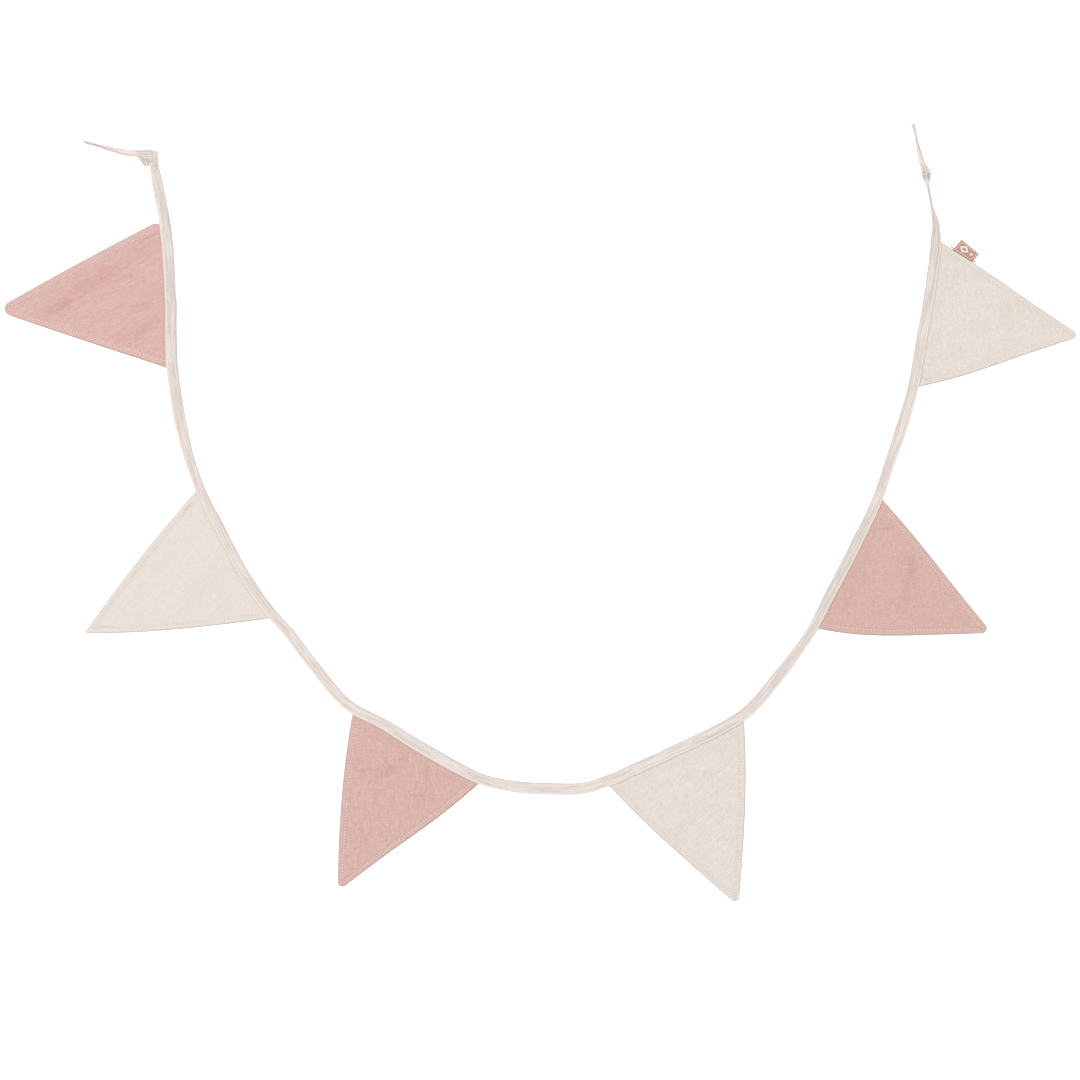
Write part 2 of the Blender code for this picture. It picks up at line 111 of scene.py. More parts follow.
class Wire:
    def __init__(self, tree, socket=None):
        self.tree = tree
        self.socket = socket

    def add(self, kind, settings=None, sockets=None, out=0):
        node = self.tree.nodes.new(kind)
        for name, value in (settings or {}).items():
            setattr(node, name, value)
        plug(node, sockets or {})
        return Wire(self.tree, node.outputs[out])

    def carried(self, name):               # a value that each point of the mesh carries
        return self.add("ShaderNodeAttribute", {"attribute_name": name}, out=2)

    def parts(self, count):                # the first numbers of a place in metres, in millimetres
        node = self.add("ShaderNodeSeparateXYZ", sockets={0: self}).socket.node
        return [Wire(self.tree, socket) * (1.0 / mm) for socket in node.outputs[:count]]

    def maths(self, operation, *values):
        return self.add("ShaderNodeMath", {"operation": operation}, dict(enumerate(values)))

    def sine(self):
        return self.maths("SINE", self)

    def atLeast(self, low):
        return self.maths("MAXIMUM", self, low)

    def atMost(self, high):
        return self.maths("MINIMUM", self, high)

    def clamped(self):
        return self.atLeast(0.0).atMost(1.0)

    def below(self, high):                 # 1 where it is, else 0
        return self.maths("LESS_THAN", self, high)

    def above(self, low):
        return self.maths("GREATER_THAN", self, low)

    def __abs__(self):
        return self.maths("ABSOLUTE", self)

    def __neg__(self):
        return self * -1.0

    def __add__(self, other):
        return self.maths("ADD", self, other)

    def __sub__(self, other):
        return self.maths("SUBTRACT", self, other)

    def __rsub__(self, other):
        return self.maths("SUBTRACT", other, self)

    def __mul__(self, other):
        return self.maths("MULTIPLY", self, other)

    __radd__ = __add__
    __rmul__ = __mul__


def newMaterial(name):
    material = bpy.data.materials.new(name)
    material.use_nodes = True
    shader = material.node_tree.nodes["Principled BSDF"]
    return material, shader, Wire(material.node_tree)


def clothPlace(pen):                       # the piece's own map, in millimetres
    return pen.add("ShaderNodeUVMap", {"uv_map": "UVMap"}).parts(2)


def ownPlace(pen, count):                  # the point's place in the frame, in millimetres
    return pen.add("ShaderNodeTexCoord", out=3).parts(count)


def grainNoise(pen, x, y, layer=0.0, detail=2.0, roughness=0.5):     # from -1 to 1
    spot = pen.add("ShaderNodeCombineXYZ", sockets={0: x, 1: y, 2: layer})
    sockets = {"Vector": spot, "Scale": 1.0, "Detail": detail, "Roughness": roughness}
    return pen.add("ShaderNodeTexNoise", sockets=sockets) * 2.0 - 1.0


def noises(pen, x, y, settings, *kinds):   # a row: cells a mm both ways, layer, detail, roughness
    rows = (settings[kind] for kind in kinds)
    return [grainNoise(pen, x * across, y * along, *rest) for across, along, *rest in rows]


def blend(amounts, **wires):               # the sum of the wires, each as much as its amount says
    total = amounts.get("middle", 0.0)
    for name, wire in wires.items():
        total = wire * amounts[name] + total
    return total


def mixColour(pen, factor, one, two):
    return pen.add("ShaderNodeMix", {"data_type": "RGBA"}, {0: factor, 6: one, 7: two}, out=2)


def bump(pen, height):                     # height in millimetres
    return pen.add("ShaderNodeBump", sockets={"Strength": 1.0, "Distance": mm, "Height": height})


def plainWeave(pen, x, y, pitch):          # height of crossing threads, from 0 to 1
    sineX = (x * (math.pi / pitch)).sine()
    sineY = (y * (math.pi / pitch)).sine()
    over = (sineX * sineY).above(0.0)
    return over * abs(sineX) + (1.0 - over) * abs(sineY)


def rgba(colour, lighter=1.0):
    return tuple(min(1.0, value * lighter) for value in colour) + (1.0,)


# the variants below are mixed by random tone and by painted shade
def toneShifted(colour, lighter):                 # a lighter or darker shade that keeps its warmth
    shares = zip(colour, (0.80, 1.06, 1.14))
    return rgba([value * (1.0 + (lighter - 1.0) * share) for value, share in shares])


weaveMiddle = 0.6                          # mean height of the woven threads


muslin = {
    "threadPitch": 0.55,           # mm
    "stray": 1.1,                  # mm to either side of a straight thread
    "crinkle": (1.05, 6.0),        # mm across and along the thread: the gauze's small puckers
    "slubs": (1.25, 24.0),
    "straying": (0.06, 0.06, 3.0),
    "strayingToo": (0.06, 0.06, 11.0),
    "mottle": (0.07, 0.07, 4.0, 3.0, 0.6),
    "fuzz": (1.5, 1.5, 9.0, 4.0, 0.7),
    "speckle": (0.8, 0.8, 17.0, 2.0, 0.6),
    "patches": (0.5, 0.5, 14.0, 2.0, 0.6),
    "tone": {"crinkle": 1.45, "slubs": 0.8, "mottle": 0.08, "fuzz": 0.9, "weave": 0.3, "speckle": 0.9,
             "seamSpeckle": 0.5},
    "patchWarmth": 0.3,
    "shades": (0.80, 1.16),        # the darkest and lightest of a colour
    "seamShades": (0.84, 1.14),
    "rimShade": 0.52,
    "relief": {"weave": 0.06, "crinkle": 0.08, "slubs": 0.056, "fuzz": 0.05},
    "rough": 0.93,
    "sheen": 0.12,
}


def muslinMaterial(name, tint, size):
    colour, seamColour, warmColour, coolColour = tint
    material, shader, pen = newMaterial(name)
    x, y = clothPlace(pen)
    straying, strayingToo, mottle, fuzz, speckle, patches = noises(
        pen, x, y, muslin, "straying", "strayingToo", "mottle", "fuzz", "speckle", "patches")
    warpX, weftY = x + straying * muslin["stray"], y + strayingToo * muslin["stray"]

    def threads(kind, layers, roughness):  # noise drawn out along both ways of the weave
        fine, short = (1.0 / long for long in muslin[kind])
        return grainNoise(pen, warpX * fine, y * short, layers[0], 2.0, roughness) * size["warp"] \
            + grainNoise(pen, x * short, weftY * fine, layers[1], 2.0, roughness) * size["weft"]

    def shaded(base, darkest, lightest):
        return mixColour(pen, tone, toneShifted(base, darkest), toneShifted(base, lightest))

    crinkle = threads("crinkle", (1.0, 7.0), 0.6)
    slubs = threads("slubs", (2.0, 5.0), 0.5)
    weave = plainWeave(pen, warpX, weftY, muslin["threadPitch"])
    # dip holds painted shade: darker in crease, crinkle and pucker valleys, needle holes and a line inside
    # the stitches
    dip, seam, warmth = (pen.carried(value) for value in ("dip", "seam", "warmth"))
    sewn = seam.atMost(1.0)
    tone = blend(muslin["tone"], crinkle=crinkle, slubs=slubs * size["lines"], mottle=mottle, fuzz=fuzz,
                 weave=weave - weaveMiddle, speckle=speckle, seamSpeckle=speckle * sewn)
    tone = (tone * size["contrast"] + 0.5 - dip).clamped()
    warmth = warmth + patches * muslin["patchWarmth"]
    cloth = shaded(colour, *muslin["shades"])
    cloth = mixColour(pen, warmth.atLeast(0.0), cloth, shaded(warmColour, *muslin["shades"]))
    cloth = mixColour(pen, (-warmth).atLeast(0.0), cloth, shaded(coolColour, *muslin["shades"]))
    cloth = mixColour(pen, sewn, cloth, shaded(seamColour, *muslin["seamShades"]))
    # past 1 the seam value is painted shade on the rim, mixed towards a darker seam colour
    paintedRimShade = (seam - 1.0).atLeast(0.0)        # past 1 the seam is its own shaded rim
    height = blend(muslin["relief"], weave=weave, crinkle=crinkle, slubs=slubs, fuzz=fuzz)
    plug(shader, {
        "Base Color": mixColour(pen, paintedRimShade, cloth, rgba(seamColour, muslin["rimShade"])),
        "Roughness": fuzz * 0.04 + muslin["rough"],
        "Normal": bump(pen, height),
        "Specular IOR Level": 0.15,
        "Sheen Weight": muslin["sheen"],
        "Sheen Roughness": 0.6,
        "Sheen Tint": rgba(colour, 1.1),
    })
    return material


tapeCloth = {
    "warm": (0.636, 0.568, 0.526),
    "cool": (0.626, 0.567, 0.538),
    # edge is the colour of a painted highlight along the open edge; the brown below is the colour of
    # painted shade
    "edge": (0.705, 0.642, 0.590),
    "paintedShadeBrown": (0.340, 0.240, 0.190),
    "shades": (0.86, 1.13),
    "ribPitch": 0.62,              # mm between lengthwise threads
    "streaks": (0.7, 0.024, 1.0, 2.0, 0.6),
    "patches": (0.02, 0.011, 2.0, 2.0, 0.5),
    "blot": (0.16, 0.12, 8.0, 3.0, 0.6),
    "fuzz": (2.6, 2.6, 4.0, 3.0, 0.7),
    # dip in the tone is painted shade
    "tone": {"middle": 0.52, "streaks": 1.4, "hair": 0.6, "blot": 0.25, "fuzz": 0.4, "weave": 0.25,
             "dip": -0.8},
    "relief": {"weave": 0.06, "streaks": 0.10, "hair": 0.05, "fuzz": 0.04},
    "rough": 0.9,
}


def tapeMaterial(name, mapped=True):
    material, shader, pen = newMaterial(name)
    if mapped:
        x, y = clothPlace(pen)
    else:                                  # knots: the same cloth on the piece's own place
        y, x, z = ownPlace(pen, 3)
        x = x + z * 0.6
    streaks, patches, blot, fuzz = noises(pen, x, y, tapeCloth, "streaks", "patches", "blot", "fuzz")
    hair = grainNoise(pen, x * 0.8 + y * 0.45, y * 0.45 - x * 0.1, 6.0, 2.0, 0.6)
    weave = plainWeave(pen, x, y, tapeCloth["ribPitch"])
    # dip darkens the tape: painted shade
    tone = blend(tapeCloth["tone"], streaks=streaks, hair=hair, blot=blot, fuzz=fuzz,
                 weave=weave - weaveMiddle, dip=pen.carried("dip"))
    warmCool = (patches * 1.4 + 0.5).clamped()
    shades = (mixColour(pen, warmCool, rgba(tapeCloth["cool"], shade), rgba(tapeCloth["warm"], shade))
              for shade in tapeCloth["shades"])
    body = mixColour(pen, tone.clamped(), *shades)
    # painted highlight on the band along the open edge
    body = mixColour(pen, pen.carried("edgeBand"), body, rgba(tapeCloth["edge"]))
    height = blend(tapeCloth["relief"], weave=weave, streaks=streaks, hair=hair, fuzz=fuzz)
    plug(shader, {
        # painted brown shade in creases, bends, hollows and by the stitch line
        "Base Color": mixColour(pen, pen.carried("paintedBrownShade"), body, rgba(tapeCloth["paintedShadeBrown"])),
        "Roughness": fuzz * 0.04 + tapeCloth["rough"],
        "Normal": bump(pen, height),
        "Specular IOR Level": 0.2,
        "Sheen Weight": 0.1,
    })
    return material


sewingThread = {
    "rose": (0.80, 0.640, 0.590),
    "cream": (0.77, 0.712, 0.660),
    "grey": (0.130, 0.120, 0.150),
    "shades": (0.90, 1.08),
    "ply": (2.2, 2.2, 1.0),
    "patches": (0.35, 0.35, 5.0),
    "tone": {"middle": 0.5, "ply": 0.5, "patches": 0.4},
    "rough": 0.7,
}


def threadMaterial(kind):
    material, shader, pen = newMaterial(kind + "Thread")
    ply, patches = noises(pen, *ownPlace(pen, 2), sewingThread, "ply", "patches")
    factor = blend(sewingThread["tone"], ply=ply, patches=patches).clamped()
    shades = (rgba(sewingThread[kind], shade) for shade in sewingThread["shades"])
    plug(shader, {
        "Base Color": mixColour(pen, factor, *shades),
        "Normal": bump(pen, ply * 0.08),
        "Roughness": sewingThread["rough"],
        "Sheen Weight": 0.1,
    })
    return material


finishes = {"tape": tapeMaterial("tapeCloth"), "knot": tapeMaterial("knotCloth", mapped=False)}
for kind in ("rose", "cream", "grey"):
    finishes[kind + "Thread"] = threadMaterial(kind)
print("cloth finishes made")


# the tape's own line: mm across and up from the tables' middle, width, turn on edge in degrees, lift

tapeRows = [
    ("left knot", -445.0, 404.0, 9.0, 0, 1.4),
    ("below left knot", -442.5, 388.0, 11.5, 0, 0.0),
    ("pennant 1 starts", -432.5, 337.0, 12.5, 0, 0.0),
    ("pennant 1 middle", -425.5, 250.0, 12.5, 0, 0.0),
    ("pennant 1 ends", -423.5, 168.0, 13.0, 0, 0.0),
    ("first bend", -412.5, 97.0, 13.0, 0, 0.0),
    ("narrow before pennant 2", -400.0, 50.0, 11.0, 0, 0.0),
    ("pennant 2 starts", -391.5, 27.5, 11.0, 0, 0.0),
    ("straight over pennant 2", -369.0, -17.0, 11.0, 0, 0.0),
    ("pennant 2 middle", -353.0, -48.5, 11.0, 0, 0.0),
    ("bowed over pennant 2", -328.0, -90.5, 11.5, 0, 0.0),
    ("pennant 2 ends", -308.0, -117.0, 11.5, 0, 0.0),
    ("pulled in after pennant 2", -290.0, -137.0, 12.0, 3, 0.0),
    ("second bend", -261.5, -174.5, 12.0, 8, 0.0),
    ("pennant 3 starts", -213.0, -226.5, 12.0, 0, 0.0),
    ("pulled in over pennant 3", -189.5, -238.0, 12.0, 0, 0.0),
    ("pennant 3 middle", -143.5, -265.5, 13.0, 0, 0.0),
    ("straight over pennant 3", -91.0, -295.0, 12.5, 0, 0.0),
    ("pennant 3 ends", -69.5, -305.5, 12.0, 0, 0.0),
    ("bend after pennant 3", -45.0, -312.0, 12.5, 0, 0.0),
    ("lowest bend", 6.0, -317.0, 13.0, 0, 0.0),
    ("bend before pennant 4", 54.5, -315.0, 12.5, 0, 0.0),
    ("pennant 4 starts", 77.5, -308.0, 12.5, 0, 0.0),
    ("straight over pennant 4", 116.5, -290.5, 12.5, 0, 0.0),
    ("pennant 4 middle", 154.0, -273.5, 12.5, 0, 0.0),
    ("pulled in over pennant 4", 207.5, -247.5, 12.5, 0, 0.0),
    ("pennant 4 ends", 230.0, -234.5, 12.5, 0, 0.0),
    ("third bend", 274.5, -186.5, 13.0, 0, 0.0),
    ("narrow before pennant 5", 302.5, -149.5, 11.0, 0, 0.0),
    ("pennant 5 starts", 314.5, -130.0, 11.0, 0, 0.0),
    ("straight over pennant 5", 332.0, -95.5, 11.5, 0, 0.0),
    ("pennant 5 middle", 362.0, -37.5, 12.0, 0, 0.0),
    ("pennant 5 ends", 388.0, 17.0, 11.5, 0, 0.0),
    ("rolled after pennant 5", 402.5, 61.5, 11.5, -6, 0.0),
    ("fourth bend", 410.5, 84.0, 12.5, -8, 0.0),
    ("pennant 6 starts", 429.0, 147.0, 12.0, 0, 0.0),
    ("straight over pennant 6", 437.5, 196.0, 12.0, 0, 0.0),
    ("pennant 6 middle", 444.0, 233.0, 12.0, 0, 0.0),
    ("pennant 6 upper", 450.0, 272.0, 12.0, 0, 0.0),
    ("pennant 6 ends", 454.5, 311.5, 12.0, 0, 0.0),
    ("twist begins", 454.5, 328.0, 11.0, 38, 0.0),
    ("twist ends", 448.5, 358.0, 11.0, 83, 0.0),
    ("right knot", 443.5, 386.0, 9.0, 90, 1.2),
]


def unit(vectors):
    return vectors / np.linalg.norm(vectors, axis=-1, keepdims=True)


def turned(x, y, degrees):                 # the same place on axes turned by the angle
    angle = math.radians(degrees)
    return x * math.cos(angle) + y * math.sin(angle), y * math.cos(angle) - x * math.sin(angle)


class SmoothLine:                          # smooth curve through the rows of a table
    def __init__(self, rows):
        self.names = [row[0] for row in rows]
        self.values = np.array([row[1:] for row in rows], float)
        steps = np.hypot(*np.diff(self.values[:, :2], axis=0).T)
        self.lengths = np.concatenate(([0.0], np.cumsum(steps)))
        slopes = np.diff(self.values, axis=0) / steps[:, None]
        share = (steps[:-1] / (steps[:-1] + steps[1:]))[:, None]
        inner = slopes[:-1] * (1.0 - share) + slopes[1:] * share
        self.slopes = np.vstack((slopes[:1], inner, slopes[-1:]))
        self.slopes[:, 3:] = 0.0           # turn and lift ease from row to row

    def mark(self, name):
        return self.lengths[self.names.index(name)]

    def at(self, length):
        length = np.asarray(length, float)
        i = np.clip(np.searchsorted(self.lengths, length) - 1, 0, len(self.lengths) - 2)
        step = self.lengths[i + 1] - self.lengths[i]
        x = (length - self.lengths[i]) / step
        x, step = x[..., None], step[..., None]
        ends = self.values[i] * (1 + 2 * x) * (1 - x) ** 2 + self.values[i + 1] * x * x * (3 - 2 * x)
        return ends + step * x * (1 - x) * (self.slopes[i] * (1 - x) - self.slopes[i + 1] * x)

    def heading(self, length):
        length = np.asarray(length, float)
        return unit((self.at(length + 1.0) - self.at(length - 1.0))[..., :2])

    def inward(self, length):              # to the left of the heading
        heading = self.heading(length)
        return np.stack((-heading[..., 1], heading[..., 0]), axis=-1)


tapeLine = SmoothLine(tapeRows)


def smoothStep(share):
    share = np.clip(share, 0.0, 1.0)
    return share * share * (3.0 - 2.0 * share)


def ramp(value, start, long):              # from 0 to 1 over this length
    return smoothStep((value - start) / long)


def softNoise(x, y, seed):                 # smooth noise from -1 to 1, one cell for each unit
    cells = 97                             # then it repeats
    lattice = np.random.default_rng(seed).uniform(-1.0, 1.0, (cells, cells))
    i, j = np.floor(x).astype(int), np.floor(y).astype(int)
    a, b = smoothStep(x - i), smoothStep(y - j)

    def row(j):
        return lattice[i % cells, j % cells] * (1 - a) + lattice[(i + 1) % cells, j % cells] * a

    return row(j) * (1 - b) + row(j + 1) * b


def toFrame(points):                       # table millimetres to metres in the frame
    return (np.asarray(points, float) + (*tableShift, 0.0)) * mm


def read(items, name, wide=1, kind=float):         # one value of all items, a row for each
    values = np.empty(len(items) * wide, kind)
    items.foreach_get(name, values)
    return values.reshape(-1, wide) if wide > 1 else values


def choose(*pieces):
    bpy.ops.object.select_all(action="DESELECT")
    for piece in pieces:
        piece.select_set(True)
    bpy.context.view_layer.objects.active = pieces[0]


def gridPiece(name, across, down):
    bpy.ops.object.select_all(action="DESELECT")
    bpy.ops.mesh.primitive_grid_add(x_subdivisions=across, y_subdivisions=down, size=1.0)
    piece = bpy.context.object
    piece.name = piece.data.name = name
    return piece


def gridPlaces(piece):                     # column and row of each point, and the layer it is in
    x, y, z = read(piece.data.vertices, "co", 3).T
    columns, rows = (len(np.unique(values.round(6))) - 1 for values in (x, y))
    return np.rint((x + 0.5) * columns).astype(int), np.rint((y + 0.5) * rows).astype(int), z > 0.5


def setPoints(piece, points):
    piece.data.vertices.foreach_set("co", np.ascontiguousarray(points, dtype=np.float32).ravel())
    piece.data.update()


def setValues(piece, name, values):
    attribute = piece.data.attributes.new(name, "FLOAT", "POINT")
    attribute.data.foreach_set("value", np.ascontiguousarray(values, dtype=np.float32))


def setMap(piece, uv):                     # one map value for each corner
    piece.data.uv_layers[0].name = "UVMap"
    piece.data.uv_layers[0].data.foreach_set("uv", np.ascontiguousarray(uv, dtype=np.float32).ravel())


def editMesh(piece, *steps):
    choose(piece)
    bpy.ops.object.mode_set(mode="EDIT")
    bpy.ops.mesh.select_all(action="SELECT")
    for step in steps:
        step()
    bpy.ops.object.mode_set(mode="OBJECT")


def shapeBy(piece, kind, **settings):      # a modifier, at once applied
    choose(piece)
    change = piece.modifiers.new(kind.title(), kind)
    for name, value in settings.items():
        setattr(change, name, value)
    bpy.ops.object.modifier_apply(modifier=change.name)


def thicken():
    bpy.ops.mesh.extrude_region_move(TRANSFORM_OT_translate={"value": (0.0, 0.0, 1.0)})


def closeSeam():
    bpy.ops.mesh.remove_doubles(threshold=1e-7)


def closeEnds():
    bpy.ops.mesh.select_all(action="DESELECT")
    bpy.ops.mesh.select_non_manifold()
    bpy.ops.mesh.fill_holes(sides=0)
    bpy.ops.mesh.select_all(action="SELECT")


def turnOutwards():
    bpy.ops.mesh.normals_make_consistent(inside=False)


def closeTube(piece):
    editMesh(piece, closeSeam, closeEnds, turnOutwards)


def dress(piece, finish, slot, *nodes):
    piece.data.materials.clear()
    piece.data.materials.append(finishes[finish])
    choose(piece)
    bpy.ops.object.shade_smooth()
    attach(piece, "root")
    if nodes:
        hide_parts(*nodes)


def tube(name, rings, run, length):
    # a grid rolled up: rings is (along, around, 3) in mm, run and length give its map in mm
    along, around = rings.shape[:2]
    piece = gridPiece(name, around, along - 1)
    i, j, _ = gridPlaces(piece)
    setPoints(piece, toFrame(rings[j, i % around]))
    uv = read(piece.data.uv_layers[0].data, "uv", 2)
    column = np.rint(uv[:, 0] * around).astype(int)
    row = np.rint(uv[:, 1] * (along - 1)).astype(int)
    setMap(piece, np.stack((run[column], length[row]), axis=1) * mm)
    return piece, i % around, j


stitchShape = {"segments": 6, "ring_count": 4, "radius": 0.5, "rotation": (0.0, math.pi / 2, 0.0)}
stitchDive = 0.45                          # share of its height by which both ends go into the cloth


def stitches(name, spots, headings, ups, finish, slot, size):
    # one stitch modelled once, then copied to every spot; spots in mm, vectors of unit length
    spots, headings, ups = (np.vstack(parts) for parts in (spots, headings, ups))
    bpy.ops.object.select_all(action="DESELECT")
    bpy.ops.mesh.primitive_uv_sphere_add(**stitchShape)
    first = bpy.context.object
    bpy.ops.object.transform_apply(location=True, rotation=True, scale=True)
    co = np.array([vert.co for vert in first.data.vertices])
    faces = [tuple(face.vertices) for face in first.data.polygons]
    bpy.data.objects.remove(first)
    long, wide, high = size
    x, y, z = co.T * np.array([[long], [wide], [high]])
    z = z - stitchDive * high * (2.0 * co[:, 0]) ** 2
    sides = np.cross(ups, headings)
    points = (spots[:, None, :] + x[None, :, None] * headings[:, None, :]
              + y[None, :, None] * sides[:, None, :] + z[None, :, None] * ups[:, None, :])
    starts = range(0, len(spots) * len(co), len(co))
    every = [tuple(corner + start for corner in face) for start in starts for face in faces]
    mesh = bpy.data.meshes.new(name)
    mesh.from_pydata(toFrame(points.reshape(-1, 3)).tolist(), [], every)
    piece = bpy.data.objects.new(name, mesh)
    bpy.context.scene.collection.objects.link(piece)
    editMesh(piece, turnOutwards)
    dress(piece, finish, slot)
    return piece


# pennants: two layers of muslin, turned and topstitched

# mm and degrees; the values in pairs are for the first side and the second, along the tape
# the rim and furrow pairs and sewn set painted shade: on the rim, in a line just inside the stitches and in
# the seam puckers
pennantColumns = ("slot", "out", "along", "tipRadius", "bows", "sways", "corners", "paintedRimSides", "paintedFurrowSides",
                  "grain", "warp", "weft", "contrast", "lines", "sewn", "seed")
pennantRows = [
    ("rose", 182.0, 7.5, 8.2, (1.3, 0.5), (-0.1, -0.1), (3.2, 0.0), (0.7, 0.6), (0.2, 0.2),
     27.0, 0.35, 1.25, 0.38, 1.0, 1.5, 11),
    ("cream", 190.0, -6.5, 2.0, (2.8, 4.2), (-0.1, -0.4), (0.6, 0.0), (0.5, 0.6), (0.3, 0.3),
     50.0, 0.35, 0.75, 0.26, 0.2, 0.7, 23),
    ("rose", 179.0, 0.0, 5.6, (4.2, 1.7), (0.2, 1.2), (0.5, 0.0), (0.6, 1.0), (0.0, 1.0),
     2.0, 1.1, 0.75, 0.44, 1.0, 1.5, 37),
    ("cream", 181.5, -11.5, 5.6, (2.7, 4.4), (0.5, 0.3), (0.0, 0.0), (0.7, 0.7), (0.0, 0.6),
     52.0, 0.4, 1.2, 0.32, 0.25, 0.8, 41),
    ("rose", 173.0, 2.0, 5.8, (6.0, 1.2), (1.3, 0.6), (0.0, 0.0), (0.6, 0.7), (0.8, 0.1),
     3.0, 0.9, 0.8, 0.44, 0.9, 1.4, 59),
    ("cream", 169.0, 2.0, 5.2, (2.6, 0.7), (1.2, 0.6), (0.0, 0.0), (0.5, 0.8), (0.1, 0.2),
     14.0, 1.0, 0.6, 0.33, 0.25, 0.7, 67),
]
pennants = [dict(zip(pennantColumns, row), name=f"pennant{number}", node=f"pennant_{number}")
            for number, row in enumerate(pennantRows, start=1)]
# soft creases: across, up, half length, half width, direction in degrees, depth (also the strength of
# painted crease shade, painted lighter below 0), warmer (or cooler)
creases = {
    "pennant1": [
        ("near the tip", -552, 239, 26, 9.5, 27, 0.20, 0.7),
        ("by the upper seam", -515, 265, 28, 9.5, 27, 0.15, 0.5),
        ("middle", -492, 280, 20, 8.5, 27, 0.13, 0.4),
        ("upper end", -460, 304, 18, 6.0, 27, 0.13, 0.4),
        ("lower end", -462, 210, 26, 6.0, 27, 0.24, 0.4),
        ("by the tape", -455, 240, 18, 5.0, 27, 0.14, 0.3),
        ("tucked corner", -449, 318, 13, 1.1, 29, 0.50, 0.3),
    ],
    "pennant2": [
        ("fold at the tip", -504, -131.5, 11, 0.8, 4, 0.55, 0.1),
        ("upper corner", -407, 4, 8, 1.2, 52, 0.35, 0.1),
        ("lower ripples", -391, -89, 24, 12, 50, 0.12, 0.1),
    ],
    "pennant3": [
        ("dent", -178, -298, 11, 6.0, 35, 0.34, 0.3),
        ("upper dent", -158, -281, 10, 2.5, 40, 0.30, 0.2),
        ("across the dent", -201, -296, 12, 1.8, 0, 0.24, 0.1),
        ("upright crease", -130, -302, 14, 3.0, 88, 0.38, 0.3),
        ("low crease", -138, -325, 16, 1.4, 0, 0.20, 0.1),
        ("pale corner", -205, -256, 10, 7.0, 60, -0.12, 0.0),
        ("pale middle", -186, -272, 8, 6.0, 60, -0.10, 0.0),
    ],
    "pennant4": [
        ("ripples", 184, -336, 10, 9.0, 50, 0.16, 0.0),
        ("low ripples", 160, -372, 14, 8.0, 50, 0.10, 0.0),
        ("upper ripples", 196, -300, 14, 7.0, 50, 0.10, 0.1),
    ],
    "pennant5": [
        ("long dent", 425, -66, 18, 7.0, 95, 0.28, 0.2),
        ("upper line", 397, -18, 14, 1.6, 8, 0.26, 0.2),
        ("left wave", 356, -100, 10, 2.4, 60, 0.20, 0.0),
        ("low field", 420, -100, 20, 9.0, 0, 0.09, 0.1),
        ("second wave", 372, -76, 12, 2.0, 78, 0.14, 0.0),
    ],
    "pennant6": [
        ("cool corner", 478, 283, 13, 7.0, -30, 0.04, -0.6),
        ("dent by the tape", 458, 263, 11, 3.2, 30, 0.32, 0.1),
        ("second dent", 477, 273, 10, 2.4, 30, 0.18, 0.0),
        ("warm patch", 540, 235, 15, 9.0, 20, 0.07, 0.6),
        ("warm end", 580, 214, 12, 7.0, 20, 0.05, 0.4),
    ],
}
tints = {                          # base, seam, warmer and cooler cloth
    "rose": ((0.578, 0.386, 0.353), (0.579, 0.398, 0.366),
             (0.566, 0.336, 0.306), (0.584, 0.392, 0.373)),
    "cream": ((0.664, 0.606, 0.558), (0.656, 0.598, 0.551),
              (0.656, 0.576, 0.527), (0.638, 0.607, 0.609)),
}
panel = {                          # mm
    "grip": 9.0,                   # top edge inside the tape
    "clear": 0.8,
    "settle": 13.0,                # comes down to the table within this
    "gap": 1.3,                    # tape layer and gap under the gripped edge
    "gripThick": 1.2,
    "bodyThick": 2.0,
    "seamThick": 2.6,
    "edgeRound": 1.3,
    "cornerLong": 3.5,             # a corner is rounded off at the tape within this
    "stitchInset": 6.2,
    "grooveDeep": 0.75,
    "grooveWide": 0.8,
    "step": 1.15,                  # between two points
    "sideSpots": (0.0, 0.12, 0.35, 0.75, 1.3, 2.2, 3.3, 4.3, 5.0, 5.6, 6.2, 6.8, 7.4, 8.2, 9.2),
    "tipSpots": (3.1, 2.3, 1.6, 1.3, 0.75, 0.35, 0.12, 0.0),
    "pitch": 3.5,                  # of the stitches
    "firstStitch": 1.4,
    "stitch": (2.6, 1.1, 0.8),
    "stray": 0.15,                 # of a stitch from its place, either way
    "raised": 0.16,                # a stitch above the cloth, less up to the next value
    "sunk": 0.32,
    "raisedBelow": 0.40,
}
relief = {                         # mm, where it isn't a share
    "crinkle": 0.12, "crinkleSize": (9.0, 1.8), "puff": 0.2, "puffSize": 3.5,
    "swell": 0.30, "swellSize": 38.0, "calm": 0.3,     # share of the crinkle left on the seams
    "strokeSize": (13.0, 1.5), "wanderSize": 12.0, "wander": 0.25, "sharp": 2.0,
    "pucker": 0.26, "puckerReach": (3.4, 2.6),         # outside and inside the stitch line
    "dent": 0.7, "dentStrokes": (0.55, 0.6), "ply": 0.3, "plyRamp": 0.4,
    "insideRamp": (1.0, 8.0), "flatRamp": (0.3, 2.4),  # from the stitch line inwards
    "slant": 0.55, "beatSize": 9.0, "beat": 0.22, "waveSize": 8.0, "wave": (0.55, 0.6),
    "grooveTop": 0.55, "grooveBelow": 0.25, "edgeLift": 0.25, "crinkleBelow": 0.5, "edgeLeast": 0.012,
}
shadeParts = {"dent": 1.3, "crinkle": 0.7, "hole": (0.10, 0.16), "paintedFurrowShade": 0.22, "furrowPlace": 1.6,
              "furrowWide": 1.1, "range": (-0.35, 0.6), "rimRamp": (0.55, 0.8), "seamRamp": (0.6, 3.0)}


